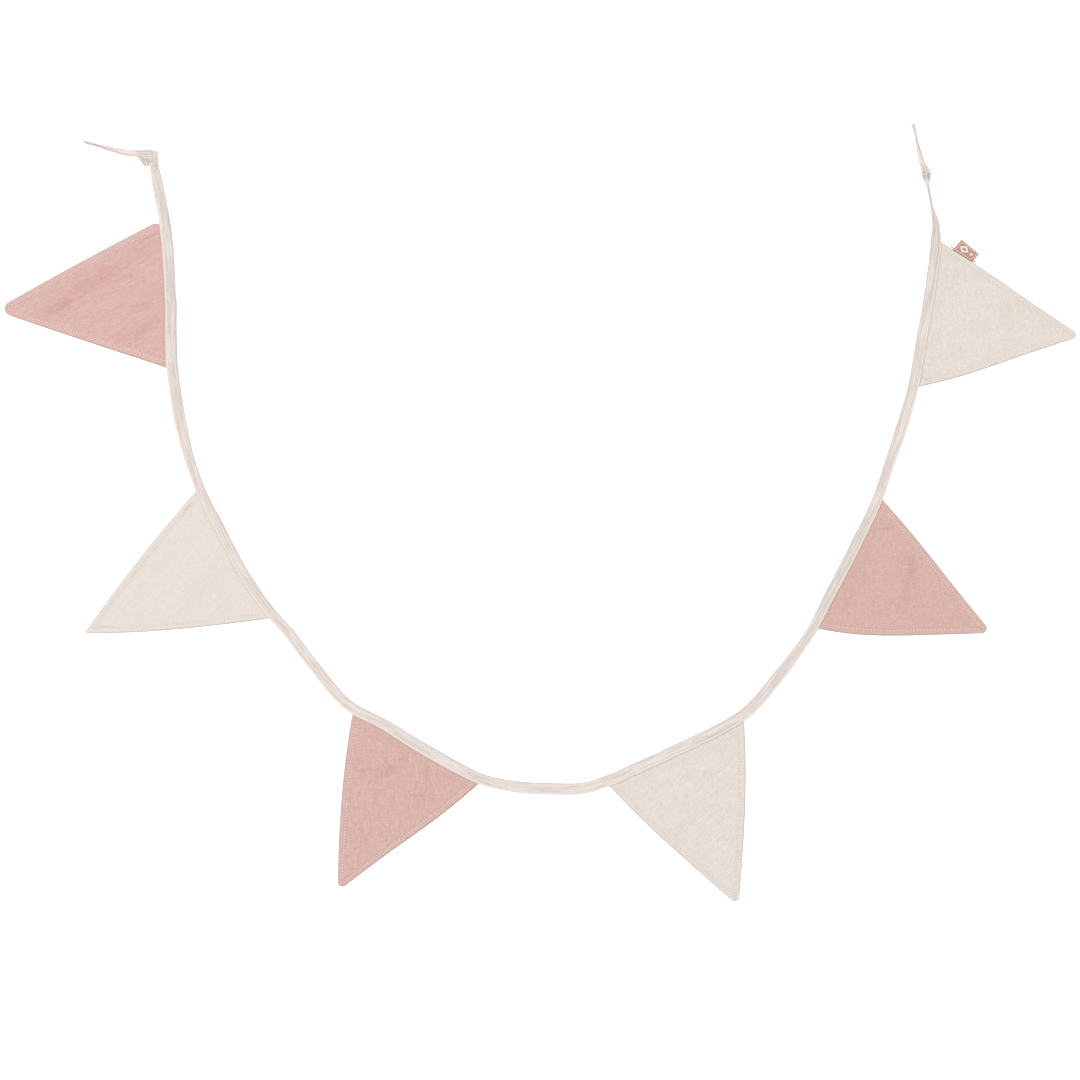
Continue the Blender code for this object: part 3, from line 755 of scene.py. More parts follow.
class Panel:                               # u along the top edge, d out from the tape's open edge
    def __init__(self, number, size):
        self.size = size
        self.start = tapeLine.mark(f"pennant {number} starts")
        self.end = tapeLine.mark(f"pennant {number} ends")
        first, last = self.tapeEdge(np.array([0.0, 1.0]), panel["clear"])
        self.alongDir = unit(last - first)
        self.outDir = np.array([self.alongDir[1], -self.alongDir[0]])
        reach = self.outDir * (size["out"] - size["tipRadius"])
        self.tipMiddle = (first + last) / 2 + reach + self.alongDir * size["along"]
        self.turns = (self.tangent(first, -1.0), self.tangent(last, 1.0))
        self.rows = np.linspace(panel["clear"] + 0.6, size["out"] - panel["stitchInset"], 900)
        self.seams = [self.seamLine(second) for second in (False, True)]

    def tapeEdge(self, u, d):
        length = self.start + u * (self.end - self.start)
        row = tapeLine.at(length)
        return row[..., :2] - tapeLine.inward(length) * (row[..., 2] / 2.0 + d)[..., None]

    def tangent(self, corner, side):
        toTip = self.tipMiddle - corner
        lean = math.atan2(toTip @ self.alongDir, toTip @ self.outDir)
        return lean + side * math.acos(self.size["tipRadius"] / np.linalg.norm(toTip))

    def tip(self, u):
        angle = self.turns[0] + u * (self.turns[1] - self.turns[0])
        ray = np.cos(angle)[..., None] * self.outDir + np.sin(angle)[..., None] * self.alongDir
        return self.tipMiddle + ray * self.size["tipRadius"]

    def place(self, u, d):
        u, d = np.broadcast_arrays(np.asarray(u, float), np.asarray(d, float))
        beyond = d - panel["clear"]
        share = np.clip(beyond / (self.size["out"] - panel["clear"]), 0.0, 1.0)
        held = self.tapeEdge(u, np.minimum(d, panel["clear"]))
        waves = {"bows": 4.0 * share * (1.0 - share), "sways": np.sin(2.0 * math.pi * share),
                 "corners": -np.exp(-(np.maximum(beyond, 0.0) / panel["cornerLong"]) ** 2)}
        sideways = 0.0 * u
        for name, wave in waves.items():
            first, second = self.size[name]
            sideways = sideways + (second * u ** 2 - first * (1.0 - u) ** 2) * wave
        return held + (self.tip(u) - held) * share[..., None] + self.alongDir * sideways[..., None]

    def width(self, d):
        d = np.asarray(d, float)
        return np.linalg.norm(self.place(1.0 + 0 * d, d) - self.place(0 * d, d), axis=-1)

    def seamLine(self, second):            # across the row, and the run so far, for each of the rows
        wide = self.width(self.rows)
        spot = np.minimum(panel["stitchInset"] / abs(math.sin(self.turns[second])), 0.47 * wide)
        spot = wide - spot if second else spot
        line = self.place(spot / wide, self.rows)
        run = np.concatenate(([0.0], np.cumsum(np.linalg.norm(np.diff(line, axis=0), axis=1))))
        return spot, run

    # how dark is painted shade; a seam value past 1 is painted shade on the rim
    def heights(self, spot, wide, d):      # underside, top, how dark, how much seam, how warm
        second = spot > wide / 2

        def ofSide(name):
            return np.where(second, self.size[name][1], self.size[name][0])

        def threads(size, *layers):        # noise drawn out along both ways of the weave
            long, fine = size
            return self.size["weft"] * softNoise(warp / long, weft / fine, seed + layers[0]) \
                + self.size["warp"] * softNoise(warp / fine, weft / long, seed + layers[1])

        x, y = np.moveaxis(self.place(spot / wide, d), -1, 0)
        warp, weft = turned(x, y, self.size["grain"])
        seed, inset = self.size["seed"], panel["stitchInset"]
        slants = [abs(math.sin(turn)) for turn in self.turns]
        side = np.minimum(spot * slants[0], (wide - spot) * slants[1])      # to the nearer slanted side
        margin = np.minimum(side, self.size["out"] - d)                     # to the nearest edge
        beyond, within, away = d - panel["clear"], margin - inset, side - inset
        inside = ramp(within, *relief["insideRamp"])
        puffs = softNoise(warp / relief["puffSize"], weft / relief["puffSize"], seed + 3)
        crinkle = (threads(relief["crinkleSize"], 0, 1) + relief["puff"] * puffs) * relief["crinkle"]
        crinkle = crinkle * (relief["calm"] + (1.0 - relief["calm"]) * inside)
        swell = softNoise(x / relief["swellSize"], y / relief["swellSize"], seed + 4) * inside
        least, more = relief["dentStrokes"]
        strokes = least + more * threads(relief["strokeSize"], 7, 9)
        dent, warmth = np.zeros_like(x), np.zeros_like(x)
        for _, left, up, long, across, lean, deep, warm in creases[self.size["name"]]:
            a, b = turned(x - left, y - up, lean)
            wander = relief["wander"] * min(across, 3.0)
            b = b + wander * softNoise(a / relief["wanderSize"], 0 * a, seed + 6)
            weight = np.exp(-(a / long) ** 2 - (b / across) ** 2)
            dent = dent + deep * weight * (1.0 if across < relief["sharp"] else strokes)
            warmth = warmth + warm * weight
        runs = [np.interp(d, self.rows, run) for _, run in self.seams]
        run = np.where(second, runs[1], runs[0])
        sewn = run - panel["firstStitch"]
        beat = (sewn + relief["slant"] * away) / panel["pitch"]
        beat = beat + relief["beat"] * softNoise(run / relief["beatSize"], 0 * run, seed + 5)
        least, more = relief["wave"]
        wave = least + more * softNoise(run / relief["waveSize"], 0 * run + 3.0, seed + 8)
        wave = wave * np.cos(2 * math.pi * beat)
        outer, inner = relief["puckerReach"]
        pucker = relief["pucker"] * wave * np.exp(-(away / np.where(away > 0, inner, outer)) ** 2)
        groove = np.exp(-(away / panel["grooveWide"]) ** 2)
        thin = (panel["seamThick"] - panel["bodyThick"]) * ramp(within, *relief["flatRamp"])
        edge = np.clip(margin / panel["edgeRound"], 0.0, 1.0)
        rounded = np.sqrt(np.clip(1.0 - (1.0 - edge) ** 2, relief["edgeLeast"], 1.0))
        free, held = (panel["seamThick"] - thin) * rounded, panel["gripThick"] * rounded
        dip = panel["grooveDeep"] * groove
        loose = smoothStep(beyond / inset)
        under = panel["gap"] * (1.0 - smoothStep(beyond / panel["settle"]))
        uneven = (crinkle + relief["swell"] * swell + pucker - relief["dent"] * dent) * edge
        top = under + held + (free - held - relief["grooveTop"] * dip + uneven) * loose
        raised = relief["edgeLift"] * free * (1.0 - rounded) + relief["grooveBelow"] * dip
        below = under + (raised + relief["crinkleBelow"] * np.abs(crinkle) * inside) * loose
        top = np.maximum(top, below + relief["ply"] * np.clip(margin / relief["plyRamp"], 0.1, 1.0))
        # painted shade: in the needle holes, in a line inside the stitches, in crease and crinkle valleys
        # and puckers, and on the rim
        least, more = shadeParts["hole"]
        paintedHoleShade = groove * (least + more * (1.0 - np.cos(2 * math.pi * sewn / panel["pitch"])))
        inFurrow = (within - shadeParts["furrowPlace"]) / shadeParts["furrowWide"]
        paintedFurrowShade = shadeParts["paintedFurrowShade"] * np.exp(-inFurrow ** 2) * ofSide("paintedFurrowSides")
        dark = shadeParts["dent"] * dent - shadeParts["crinkle"] * crinkle - pucker * self.size["sewn"]
        dark = np.clip(dark + paintedHoleShade + paintedFurrowShade, *shadeParts["range"]) * loose
        paintedRimShade = (1.0 - ramp(margin, *shadeParts["rimRamp"])) * ofSide("paintedRimSides")
        band = (1.0 - ramp(within, *shadeParts["seamRamp"])) * loose + paintedRimShade
        return below, top, dark, band, np.clip(warmth, -1.0, 1.0)


def makePanel(number, size):
    shape = Panel(number, size)
    out, step = size["out"], panel["step"]
    sideSpots, tipSpots = np.array(panel["sideSpots"]), np.array(panel["tipSpots"])
    body = int((shape.width(panel["clear"]) - 2.2 * sideSpots[-1]) / step)
    rows = np.concatenate((np.linspace(-panel["grip"], panel["clear"], 5),
                           np.linspace(panel["clear"], out - 4.0, int((out - 4.8) / step))[1:],
                           out - tipSpots))
    wide = shape.width(rows)
    sides = [sideSpots[:, None] / abs(math.sin(turn)) for turn in shape.turns]
    squeeze = np.minimum(1.0, wide / (1.2 * (sides[0][-1] + sides[1][-1])))
    first, last = (side * squeeze for side in sides)
    shares = np.linspace(0.0, 1.0, body + 1)[1:-1, None]
    middle = first[-1] + (wide - first[-1] - last[-1]) * shares
    spots = np.vstack((first, middle, (wide - last)[::-1]))         # (columns, rows)
    d, wides = np.broadcast_to(rows, spots.shape), np.broadcast_to(wide, spots.shape)
    below, top, *values = shape.heights(spots, wides, d)
    piece = gridPiece(size["name"], spots.shape[0] - 1, spots.shape[1] - 1)
    editMesh(piece, thicken)
    i, j, upper = gridPlaces(piece)
    x, y = shape.place(spots / wides, d)[i, j].T
    z = np.where(upper, top[i, j], below[i, j])
    setPoints(piece, toFrame(np.stack((x, y, z), axis=1)))
    # dip and the seam past 1 carry painted shade
    for name, value in zip(("dip", "seam", "warmth"), values):
        setValues(piece, name, value[i, j])
    corners = read(piece.data.loops, "vertex_index", kind=int)
    setMap(piece, np.stack(turned(x, y, size["grain"]), axis=1)[corners] * mm)
    editMesh(piece, turnOutwards)
    finishes[size["name"]] = muslinMaterial(size["name"] + "Muslin", tints[size["slot"]], size)
    dress(piece, size["name"], size["slot"], size["node"])
    return piece, shape


def seamPlace(shape, rows, spot, above):
    wide = shape.width(rows)
    across = np.interp(rows, shape.rows, spot)
    under, top, *_ = shape.heights(across, wide, rows)
    return np.column_stack((shape.place(across / wide, rows), top if above else under))


def panelStitches(shape, size):
    spots, headings, ups = [], [], []
    for second, (spot, run) in enumerate(shape.seams):
        middles = np.arange(panel["firstStitch"], run[-1] - 1.0, panel["pitch"])
        draws = np.random.default_rng(size["seed"] + second)
        middles = middles + draws.uniform(-panel["stray"], panel["stray"], len(middles))
        for above in (True, False):
            here, there = (seamPlace(shape, np.interp(middles + ahead, run, shape.rows), spot, above)
                           for ahead in (0.0, 1.0))
            heading = unit(there - here)
            up = np.zeros_like(here)
            up[:, 2] = 1.0 if above else -1.0
            up = unit(up - heading * np.sum(up * heading, axis=1, keepdims=True))
            sunk = np.random.default_rng(size["seed"] + 5).uniform(0.0, panel["sunk"], len(middles))
            here[:, 2] += panel["raised"] - sunk if above else panel["raisedBelow"]
            spots.append(here)
            headings.append(heading)
            ups.append(up)
    return stitches(size["name"] + "Stitches", spots, headings, ups,
                    size["slot"] + "Thread", size["slot"], panel["stitch"])


panelPieces = {}
for number, size in enumerate(pennants, start=1):
    piece, shape = makePanel(number, size)
    sewing = panelStitches(shape, size)
    panelPieces[size["name"]] = (piece, sewing, shape)
    topWide = float(shape.width(panel["clear"]))
    deep = size["out"] + panel["grip"]
    cut = topWide * (panel["grip"] + size["out"] / 2.0) * 1.03
    deep * mm
    cut * mm * mm
    print(size["name"], len(piece.data.polygons), "faces")


# binding tape: a strip folded lengthwise, its open edge outwards

binding = {                        # mm
    "layer": 1.0,
    "gap": 0.3,
    "gripThick": 1.2,
    "gripRamp": (1.0, 9.0),
    "endShort": 6.0,               # stops inside the right knot, drawn narrower
    "endPinch": 0.22,
    "endRamp": (22.0, 20.0),
    "step": 1.5,
    "edgeBand": 2.3,               # from the open edge to the stitch line
    "bandRamp": (-0.5, 0.8),
    # painted highlight on the band by the open edge and on its rounded edge
    "bandHighlight": 0.75,
    "edgeHighlight": 0.8,
    "edgeCurl": ((0.16, 0.18), (0.22, 0.5), (0.12, 0.84)),     # out, and share of the layer down
    "foldAngle": 80.0,
    "foldSwell": 0.05,
    "underRise": 0.06,
    # painted shade, brown too, along the outer side of the fold
    "foldShade": 0.6,
    "foldBrownShade": 0.22,
    "grooveDeep": 0.20,
    "grooveWide": 0.55,
    "crease": 0.22,
    "wobble": 0.22,
    "pitch": 3.0,
    "stray": 0.12,
    "raised": 0.16,
    "raisedBelow": 0.20,
    "stitch": (2.3, 0.55, 0.55),
    "insideShares": (0.1, 0.4, 0.7, 1.0),
    "bandShares": (0.25, 0.215, 0.19, 0.16, 0.12, 0.07, 0.03),
}
# where each part of the section starts on the cloth's map, in mm across the strip
mapStarts = {"under": 0.0, "fold": -11.0, "top": -14.0, "edge": -25.5, "upper": -27.0,
             "inner": -37.0, "lower": -38.0, "back": -48.0, "end": -49.0}


def gripAt(length):
    share = np.zeros_like(length)
    for number in range(1, len(pennants) + 1):
        start, end = (tapeLine.mark(f"pennant {number} {what}") for what in ("starts", "ends"))
        outside = np.maximum(np.maximum(start - length, length - end), 0.0)
        share = np.maximum(share, 1.0 - ramp(outside, *binding["gripRamp"]))
    return share


def openingAt(length):                     # between the two layers
    return binding["gap"] + gripAt(length) * (binding["gripThick"] + binding["gap"])


# painted brownish shade by the stitch line and in sharp bends: place, mm beyond it, how strong, half length
tapeBrownShades = [
    ("twist begins", -20.0, 0.42, 26.0),
    ("pennant 6 ends", -18.0, 0.30, 30.0),
    ("pennant 4 starts", -10.0, 0.34, 3.0),
    ("pennant 2 middle", 0.0, 0.14, 60.0),
    ("pennant 4 ends", -20.0, 0.16, 50.0),
    ("second bend", 4.0, 0.20, 5.0),
    ("pennant 3 ends", 12.0, 0.22, 4.0),
]
# painted shade along the whole strip, and painted light where the value is below 0
paintedTapeShades = {
    "left knot": 0.30, "pennant 1 middle": 0.26, "pennant 1 ends": 0.10, "pennant 2 starts": 0.04,
    "second bend": 0.0, "lowest bend": -0.22, "pennant 4 ends": -0.10, "third bend": 0.0,
    "pennant 5 middle": 0.22, "fourth bend": 0.05, "right knot": 0.0,
}


def paintedShadeAt(length):
    return np.interp(length, [tapeLine.mark(name) for name in paintedTapeShades], list(paintedTapeShades.values()))


def brownShadeAt(length):
    shade = 0 * length
    for name, beyond, strong, half in tapeBrownShades:
        shade = shade + strong * np.exp(-((length - tapeLine.mark(name) - beyond) / half) ** 2)
    return shade


def tapeTopRelief(length, across, wide):   # across: mm from the open edge
    away = across - binding["edgeBand"]
    groove = binding["grooveDeep"] * np.exp(-(away / binding["grooveWide"]) ** 2)
    pull = 0.10 * softNoise(length / 1.6, 0 * length, 301) * np.exp(-np.abs(away) / 1.4)
    creased = softNoise(length / 34.0, across / 1.5, 302)
    creased = creased + 0.7 * softNoise(length / 13.0, across / 2.6, 303)
    body = smoothStep(away / 1.6) * smoothStep((wide - across) / 1.5)
    return -groove + pull + creased * binding["crease"] * (0.25 + 0.75 * body)


def makeTape():
    end = tapeLine.lengths[-1] - binding["endShort"]
    rowsAt = np.linspace(0.0, end, int(end / binding["step"]))
    row = tapeLine.at(rowsAt)
    wide, turn, lift = row[:, 2:3], np.radians(row[:, 3:4]), np.maximum(row[:, 4:5], 0.0)
    before, over = binding["endRamp"]
    wide = wide * (1.0 - binding["endPinch"] * ramp(rowsAt, end - before, over))[:, None]
    layer = binding["layer"]
    high = 2 * layer + openingAt(rowsAt)[:, None]
    half, bend = wide / 2, high / 2
    length = rowsAt[:, None]
    inner = (wide - layer) * 0.97
    flatRun = wide - bend
    section = []                           # a row for each point round it

    # the band value is painted highlight; the last two values are painted shade
    def put(u, v, part, run=0.0, band=0.0, dip=0.0, paintedBrownShade=0.0):
        values = (u, v, mapStarts[part] + run, band, dip, paintedBrownShade)
        section.append([np.broadcast_to(value, wide.shape) for value in values])

    for share in np.linspace(0.03, 0.97, 9):                     # underside
        fromEdge = share * flatRun
        raised = binding["underRise"] * (1 + softNoise(length / 20.0, fromEdge / 2.0, 304))
        put(-half + fromEdge, raised, "under", -share * 11.0)
    # the fold is painted darker towards its outer side: painted shade
    for angle in np.radians(np.linspace(-1.0, 1.0, 8) * binding["foldAngle"]):     # the fold
        cos, sin = math.cos(angle), math.sin(angle)
        swell = 1.0 + binding["foldSwell"] * softNoise(length / 7.0, 0 * length + angle, 305)
        put(half - bend + bend * cos * swell, bend + bend * sin, "fold", -(angle + 1.4) * 1.1, 0.0,
            binding["foldShade"] * cos, binding["foldBrownShade"] * cos)
    for share in (*np.linspace(0.98, 0.30, 13), *binding["bandShares"]):         # upper side
        fromEdge = share * flatRun
        above = tapeTopRelief(length, fromEdge, flatRun)
        # painted highlight on the band by the open edge; painted shade in the top's creases and groove,
        # along the strip, and brown by the stitch line
        beyond = fromEdge - binding["edgeBand"]
        pale = binding["bandHighlight"] * (1.0 - ramp(beyond, *binding["bandRamp"]))
        put(-half + fromEdge, high + above, "top", -(1 - share) * 11.0, pale,
            np.clip(-above * 1.6, -0.3, 0.5) + paintedShadeAt(length),
            brownShadeAt(length) * np.exp(-((beyond - 0.5) / 0.9) ** 2))
    above = tapeTopRelief(length, 0.03 * flatRun, flatRun)
    for out, down in binding["edgeCurl"]:                        # rounded open edge
        # painted highlight on the rounded open edge
        put(-half - out * 0.6, high + above * (1 - down) - layer * down, "edge", -down, binding["edgeHighlight"])
    for share in binding["insideShares"]:                        # inside, upper layer
        put(-half + share * inner, high - layer, "upper", -share * 9.0)
    put(half - layer, high / 2, "inner")
    for share in reversed(binding["insideShares"]):              # inside, lower layer
        put(-half + share * inner, layer, "lower", -(1 - share) * 9.0)
    for out, down in reversed(binding["edgeCurl"]):
        put(-half - out * 0.6, layer * down, "back")
    u, v, run, *values = np.concatenate([np.array(point) for point in section], axis=2)
    waves = softNoise(length / 17.0, 0 * length, 306) + 0.5 * softNoise(length / 6.0, 0 * length, 307)
    u = u + binding["wobble"] * waves
    v = v - v.mean(axis=1, keepdims=True)
    turnedU = u * np.cos(turn) - v * np.sin(turn)
    turnedV = u * np.sin(turn) + v * np.cos(turn)
    rings = np.empty(u.shape + (3,))
    rings[..., :2] = row[:, None, :2] + turnedU[..., None] * tapeLine.inward(rowsAt)[:, None, :]
    rings[..., 2] = turnedV - turnedV.min(axis=1, keepdims=True) + lift
    piece, i, j = tube("bindingTape", rings, np.append(run[0], mapStarts["end"]), rowsAt)
    for name, value in zip(("edgeBand", "dip", "paintedBrownShade"), values):
        setValues(piece, name, value[j, i])
    closeTube(piece)
    return piece


def tapeStitches():
    lengths = np.arange(tapeLine.mark("below left knot"), tapeLine.mark("twist begins"), binding["pitch"])
    draws = np.random.default_rng(71)
    lengths = lengths + draws.uniform(-binding["stray"], binding["stray"], len(lengths))
    row, none = tapeLine.at(lengths), 0 * lengths
    cos, sin = np.cos(np.radians(row[:, 3])), np.sin(np.radians(row[:, 3]))
    inward = np.column_stack((tapeLine.inward(lengths), none))
    heading = np.column_stack((tapeLine.heading(lengths), none))
    high = 2 * binding["layer"] + openingAt(lengths)
    u = -row[:, 2] / 2 + binding["edgeBand"]
    low = -np.abs(sin) * row[:, 2] / 2 - cos * high / 2
    up = np.column_stack((none, none, cos)) - inward * sin[:, None]
    spots = []
    for v in (high - binding["grooveDeep"] + binding["raised"], binding["raisedBelow"] + none):
        around = v - high / 2
        side, rise = u * cos - around * sin, u * sin + around * cos
        spots.append(np.column_stack((row[:, :2], rise - low)) + inward * side[:, None])
    return stitches("tapeStitches", spots, (heading, heading), (up, -up),
                    "creamThread", "tape", binding["stitch"])


tape = makeTape()
dress(tape, "tape", "tape", "binding_tape")
tapeSewing = tapeStitches()
print("binding tape", len(tape.data.polygons), "faces")


# end loops: two strands of the tape, flat at the knot and on edge at the tip

loops = {                          # across, up, width, turn, thickness of a strand, lift
    "left": [
        ("in the knot", -452.0, 412.8, 7.2, 12, 1.4, 1.0),
        ("root", -464.0, 413.7, 6.6, 14, 1.4, 0.8),
        ("flat", -478.0, 415.0, 6.6, 26, 1.3, 0.2),
        ("crease", -492.0, 418.0, 7.6, 62, 1.5, 0.0),
        ("on edge", -506.0, 421.6, 8.8, 82, 1.65, 0.0),
        ("tip", -523.4, 426.2, 9.4, 90, 1.45, 0.0),
    ],
    "right": [
        ("in the knot", 441.5, 392.0, 5.4, -20, 1.2, 1.0),
        ("root", 439.0, 400.5, 5.8, -26, 1.2, 0.4),
        ("flat", 436.3, 411.0, 5.8, -46, 1.15, 0.0),
        ("narrow", 434.3, 417.6, 6.6, -70, 1.0, 0.0),
        ("thin", 432.7, 424.4, 8.6, -86, 0.8, 0.0),
        ("bend", 430.6, 435.2, 10.0, -90, 0.78, 0.0),
        ("behind the tip", 429.3, 441.4, 10.0, -88, 0.95, 0.0),
        ("tip", 428.0, 445.6, 10.0, -84, 1.4, 0.0),
    ],
}
strand = {"gap": 0.03, "step": 1.0, "around": 28, "crease": 0.10, "fineCrease": 0.07,
          "square": (0.38, 0.32)}


def makeLoop(side):
    line = SmoothLine(loops[side])
    end = line.lengths[-1]

    def frameAt(length):
        row, level = line.at(length), np.zeros(len(length))
        apart = (row[:, 4:5] + strand["gap"]) / 2
        angle = np.radians(row[:, 3])[:, None]
        heading = np.column_stack((line.heading(length), level))
        inward = np.column_stack((line.inward(length), level))
        across = inward * np.cos(angle) + np.array([0.0, 0.0, 1.0]) * np.sin(angle)
        normal = np.cross(heading, across)
        rise = np.abs(across[:, 2]) * row[:, 2] / 2 + np.abs(normal[:, 2]) * (apart[:, 0] + row[:, 4] / 2)
        centre = np.column_stack((row[:, :2], rise + np.maximum(0.0, row[:, 5])))
        return centre, heading, across, normal, row[:, 2:3], apart

    out = np.linspace(0.0, end, int(end / strand["step"]))
    centre, heading, across, normal, wide, apart = frameAt(out)
    bends = np.radians(np.linspace(15.0, 165.0, 11))

    def thereAndBack(values):              # along one strand, round the tip and along the other
        return np.vstack((values, np.repeat(values[-1:], len(bends), axis=0), values[::-1]))

    tipNormal = normal[-1] * np.cos(bends)[:, None] + heading[-1] * np.sin(bends)[:, None]
    normals = np.vstack((normal, tipNormal, -normal[::-1]))
    centres = thereAndBack(centre) + normals * thereAndBack(apart)
    run = np.concatenate(([0.0], np.cumsum(np.linalg.norm(np.diff(centres, axis=0), axis=1))))
    angles = np.linspace(0.0, 2 * math.pi, strand["around"], endpoint=False)
    ca, sa = np.cos(angles), np.sin(angles)
    flatter, sharper = strand["square"]
    a, b = np.sign(ca) * np.abs(ca) ** flatter / 2, np.sign(sa) * np.abs(sa) ** sharper / 2
    crease = softNoise(run[:, None] / 19.0, a * 4.5 + (sa > 0) * 7.0, 401) * strand["crease"]
    crease = crease + strand["fineCrease"] * softNoise(run[:, None] / 5.0, a[None, :] * 6.0, 402)
    thick = (2 * thereAndBack(apart) - strand["gap"]) * b + crease * sa
    rings = (centres[:, None, :] + thereAndBack(across)[:, None, :] * (thereAndBack(wide) * a)[..., None]
             + normals[:, None, :] * thick[..., None])
    around = np.linspace(0.0, 22.0, strand["around"] + 1)
    piece, i, j = tube(side + "Loop", rings, around, run)
    # painted shade in the crease valleys, brown in the deeper ones
    setValues(piece, "dip", np.clip(-crease * 1.6, -0.3, 0.4)[j, i])
    setValues(piece, "paintedBrownShade", np.clip(-crease * 1.2, 0.0, 0.3)[j, i])
    setValues(piece, "edgeBand", 0.0 * i)
    closeTube(piece)
    dress(piece, "tape", "tape")
    return piece


tapeLoops = [makeLoop(side) for side in loops]
print("end loops made")


# knots: the tape's folds drawn together under a strap, and its cut end, melted into one piece of cloth

knots = {                          # each fold: across, up, width, height, middle height
    "left": {
        "core": [(-440.6, 408.6, 13.4, 4.6, 3.0), (-447, 411.0, 13.6, 6.0, 3.3),
            (-456, 412.6, 10.6, 5.2, 3.0), (-466, 413.9, 7.2, 3.6, 2.5), (-475, 414.9, 5.6, 1.6, 1.9)],
        "top fold": [(-441, 414.8, 3.0, 4.6, 3.4), (-447, 416.4, 3.0, 5.4, 3.8),
            (-458, 416.4, 2.4, 4.6, 3.3), (-468, 416.2, 1.8, 2.4, 2.6)],
        "second fold": [(-442, 412.4, 2.6, 5.2, 4.4), (-449, 413.4, 2.8, 6.0, 4.3),
            (-458, 413.6, 2.2, 4.8, 3.8), (-470, 414.0, 1.6, 2.0, 2.6)],
        "third fold": [(-443, 409.4, 2.8, 5.4, 4.2), (-450, 410.6, 2.8, 5.6, 4.0),
            (-458, 411.0, 2.2, 4.4, 3.4), (-466, 411.4, 1.6, 2.6, 2.6)],
        "fourth fold": [(-444, 406.4, 2.8, 4.6, 3.9), (-450, 407.6, 2.6, 4.6, 3.6),
            (-458, 409.0, 2.0, 3.6, 3.0), (-463, 410.6, 1.4, 2.4, 2.4)],
        "strap": [(-444.0, 417.2, 2.6, 2.4, 3.0), (-443.4, 414.0, 3.4, 4.6, 4.9),
            (-443.1, 407.0, 3.6, 5.0, 5.5), (-442.8, 401.4, 3.6, 4.6, 4.6),
            (-442.8, 398.8, 3.2, 3.0, 2.6)],
        "strap edge": [(-442.6, 416.6, 2.2, 2.4, 2.8), (-441.2, 413.2, 2.4, 4.6, 4.0),
            (-440.5, 406.0, 2.4, 5.2, 4.4), (-440.4, 400.8, 2.4, 4.4, 3.6),
            (-441.4, 398.6, 2.2, 2.6, 2.4)],
        "wrap": [(-448.0, 400.4, 2.0, 2.4, 2.2), (-445.4, 399.4, 2.2, 3.8, 2.9),
            (-441.8, 398.8, 2.0, 3.8, 2.7)],
    },
    "right": {
        "stem": [(445.9, 369.6, 2.2, 6.8, 4.6), (444.9, 375.0, 2.6, 8.6, 4.9),
            (443.9, 380.6, 3.8, 8.4, 4.7), (443.1, 386.0, 4.6, 7.4, 4.3)],
        "web": [(444.4, 379.4, 3.0, 4.2, 3.2), (443.3, 386.4, 7.4, 5.2, 3.3),
            (443.3, 392.0, 7.6, 5.4, 3.4), (441.1, 398.4, 4.6, 4.6, 3.4), (439.1, 405.4, 3.4, 2.6, 2.6)],
        "left fold": [(444.5, 378.2, 1.6, 4.4, 3.2), (441.3, 382.6, 2.2, 5.0, 3.5),
            (439.1, 387.4, 2.4, 5.6, 3.7), (438.9, 394.0, 2.0, 5.0, 3.6), (437.7, 402.0, 1.2, 2.0, 3.2)],
        "middle fold": [(444.4, 379.0, 1.8, 6.2, 4.6), (443.5, 385.0, 2.4, 6.8, 4.8),
            (442.5, 392.0, 2.4, 6.2, 4.5), (440.7, 400.0, 1.6, 4.4, 4.0), (438.9, 408.0, 0.8, 1.4, 3.0)],
        "right fold": [(444.9, 379.4, 1.8, 4.6, 3.4), (446.8, 384.4, 2.2, 5.2, 3.7),
            (447.8, 389.0, 2.4, 5.6, 3.8), (446.3, 394.0, 2.2, 4.8, 3.7), (442.7, 400.6, 1.2, 2.4, 3.2)],
        "strap": [(438.3, 387.2, 2.0, 2.6, 3.0), (440.9, 388.8, 2.6, 4.0, 5.0),
            (444.5, 390.2, 2.8, 4.2, 5.4), (447.7, 391.6, 2.6, 3.6, 4.3), (448.5, 390.6, 2.0, 2.6, 2.6)],
        "cut end": [(445.3, 391.0, 2.8, 3.2, 4.8), (445.7, 394.8, 2.6, 2.8, 4.8),
            (444.7, 398.6, 1.8, 1.8, 4.3)],
    },
}
# the pleated, cut end of the left knot: its corners at the root and at the cut, in mm, and the slits in it
cutEnd = {
    "root": ((-464.2, 411.0), (-446.0, 408.0)), "cut": ((-455.0, 398.2), (-446.4, 399.2)),
    "pleats": 4.5, "pleatHigh": 0.75, "thick": 0.95, "low": (3.0, 1.5), "columns": 72, "rows": 40,
    "slits": ((0.30, 0.50, 0.045), (0.62, 0.46, 0.05)), "ragged": 0.06,
}
knotMesh = {"voxel": 0.00028, "smooth": 0.5, "rounds": 2, "around": 20, "step": 0.6, "endRound": 0.9,
            "cavity": 0.13, "cavityRounds": 10, "ripple": 0.10, "ripples": (7.0, 0.8, 4.0, 1.6)}


def pleatedEnd():
    piece = gridPiece("leftCutEnd", cutEnd["columns"], cutEnd["rows"])
    editMesh(piece, thicken)
    i, j, upper = gridPlaces(piece)
    u, v = i / cutEnd["columns"], j / cutEnd["rows"]
    reach = 1.0 - cutEnd["ragged"] * (1.0 + softNoise(u * 26.0, 0 * u, 531)) / 2
    for middle, deep, half in cutEnd["slits"]:
        reach = reach - deep * np.exp(-((u - middle) / half) ** 4)
    v = v * reach

    def between(ends, share):
        first, last = np.asarray(ends)
        return first + (last - first) * share

    start, end = between(cutEnd["root"], u[:, None]), between(cutEnd["cut"], u[:, None])
    place = start + (end - start) * v[:, None]
    pleat = np.cos(2 * math.pi * cutEnd["pleats"] * u + 0.5 * v)
    z = between(cutEnd["low"], v) + cutEnd["pleatHigh"] * pleat * (0.5 + 0.5 * v)
    z = z + cutEnd["thick"] * (upper - 0.5)
    setPoints(piece, toFrame(np.column_stack((place, np.maximum(z, 0.05 + 0.4 * upper)))))
    editMesh(piece, turnOutwards)
    return piece


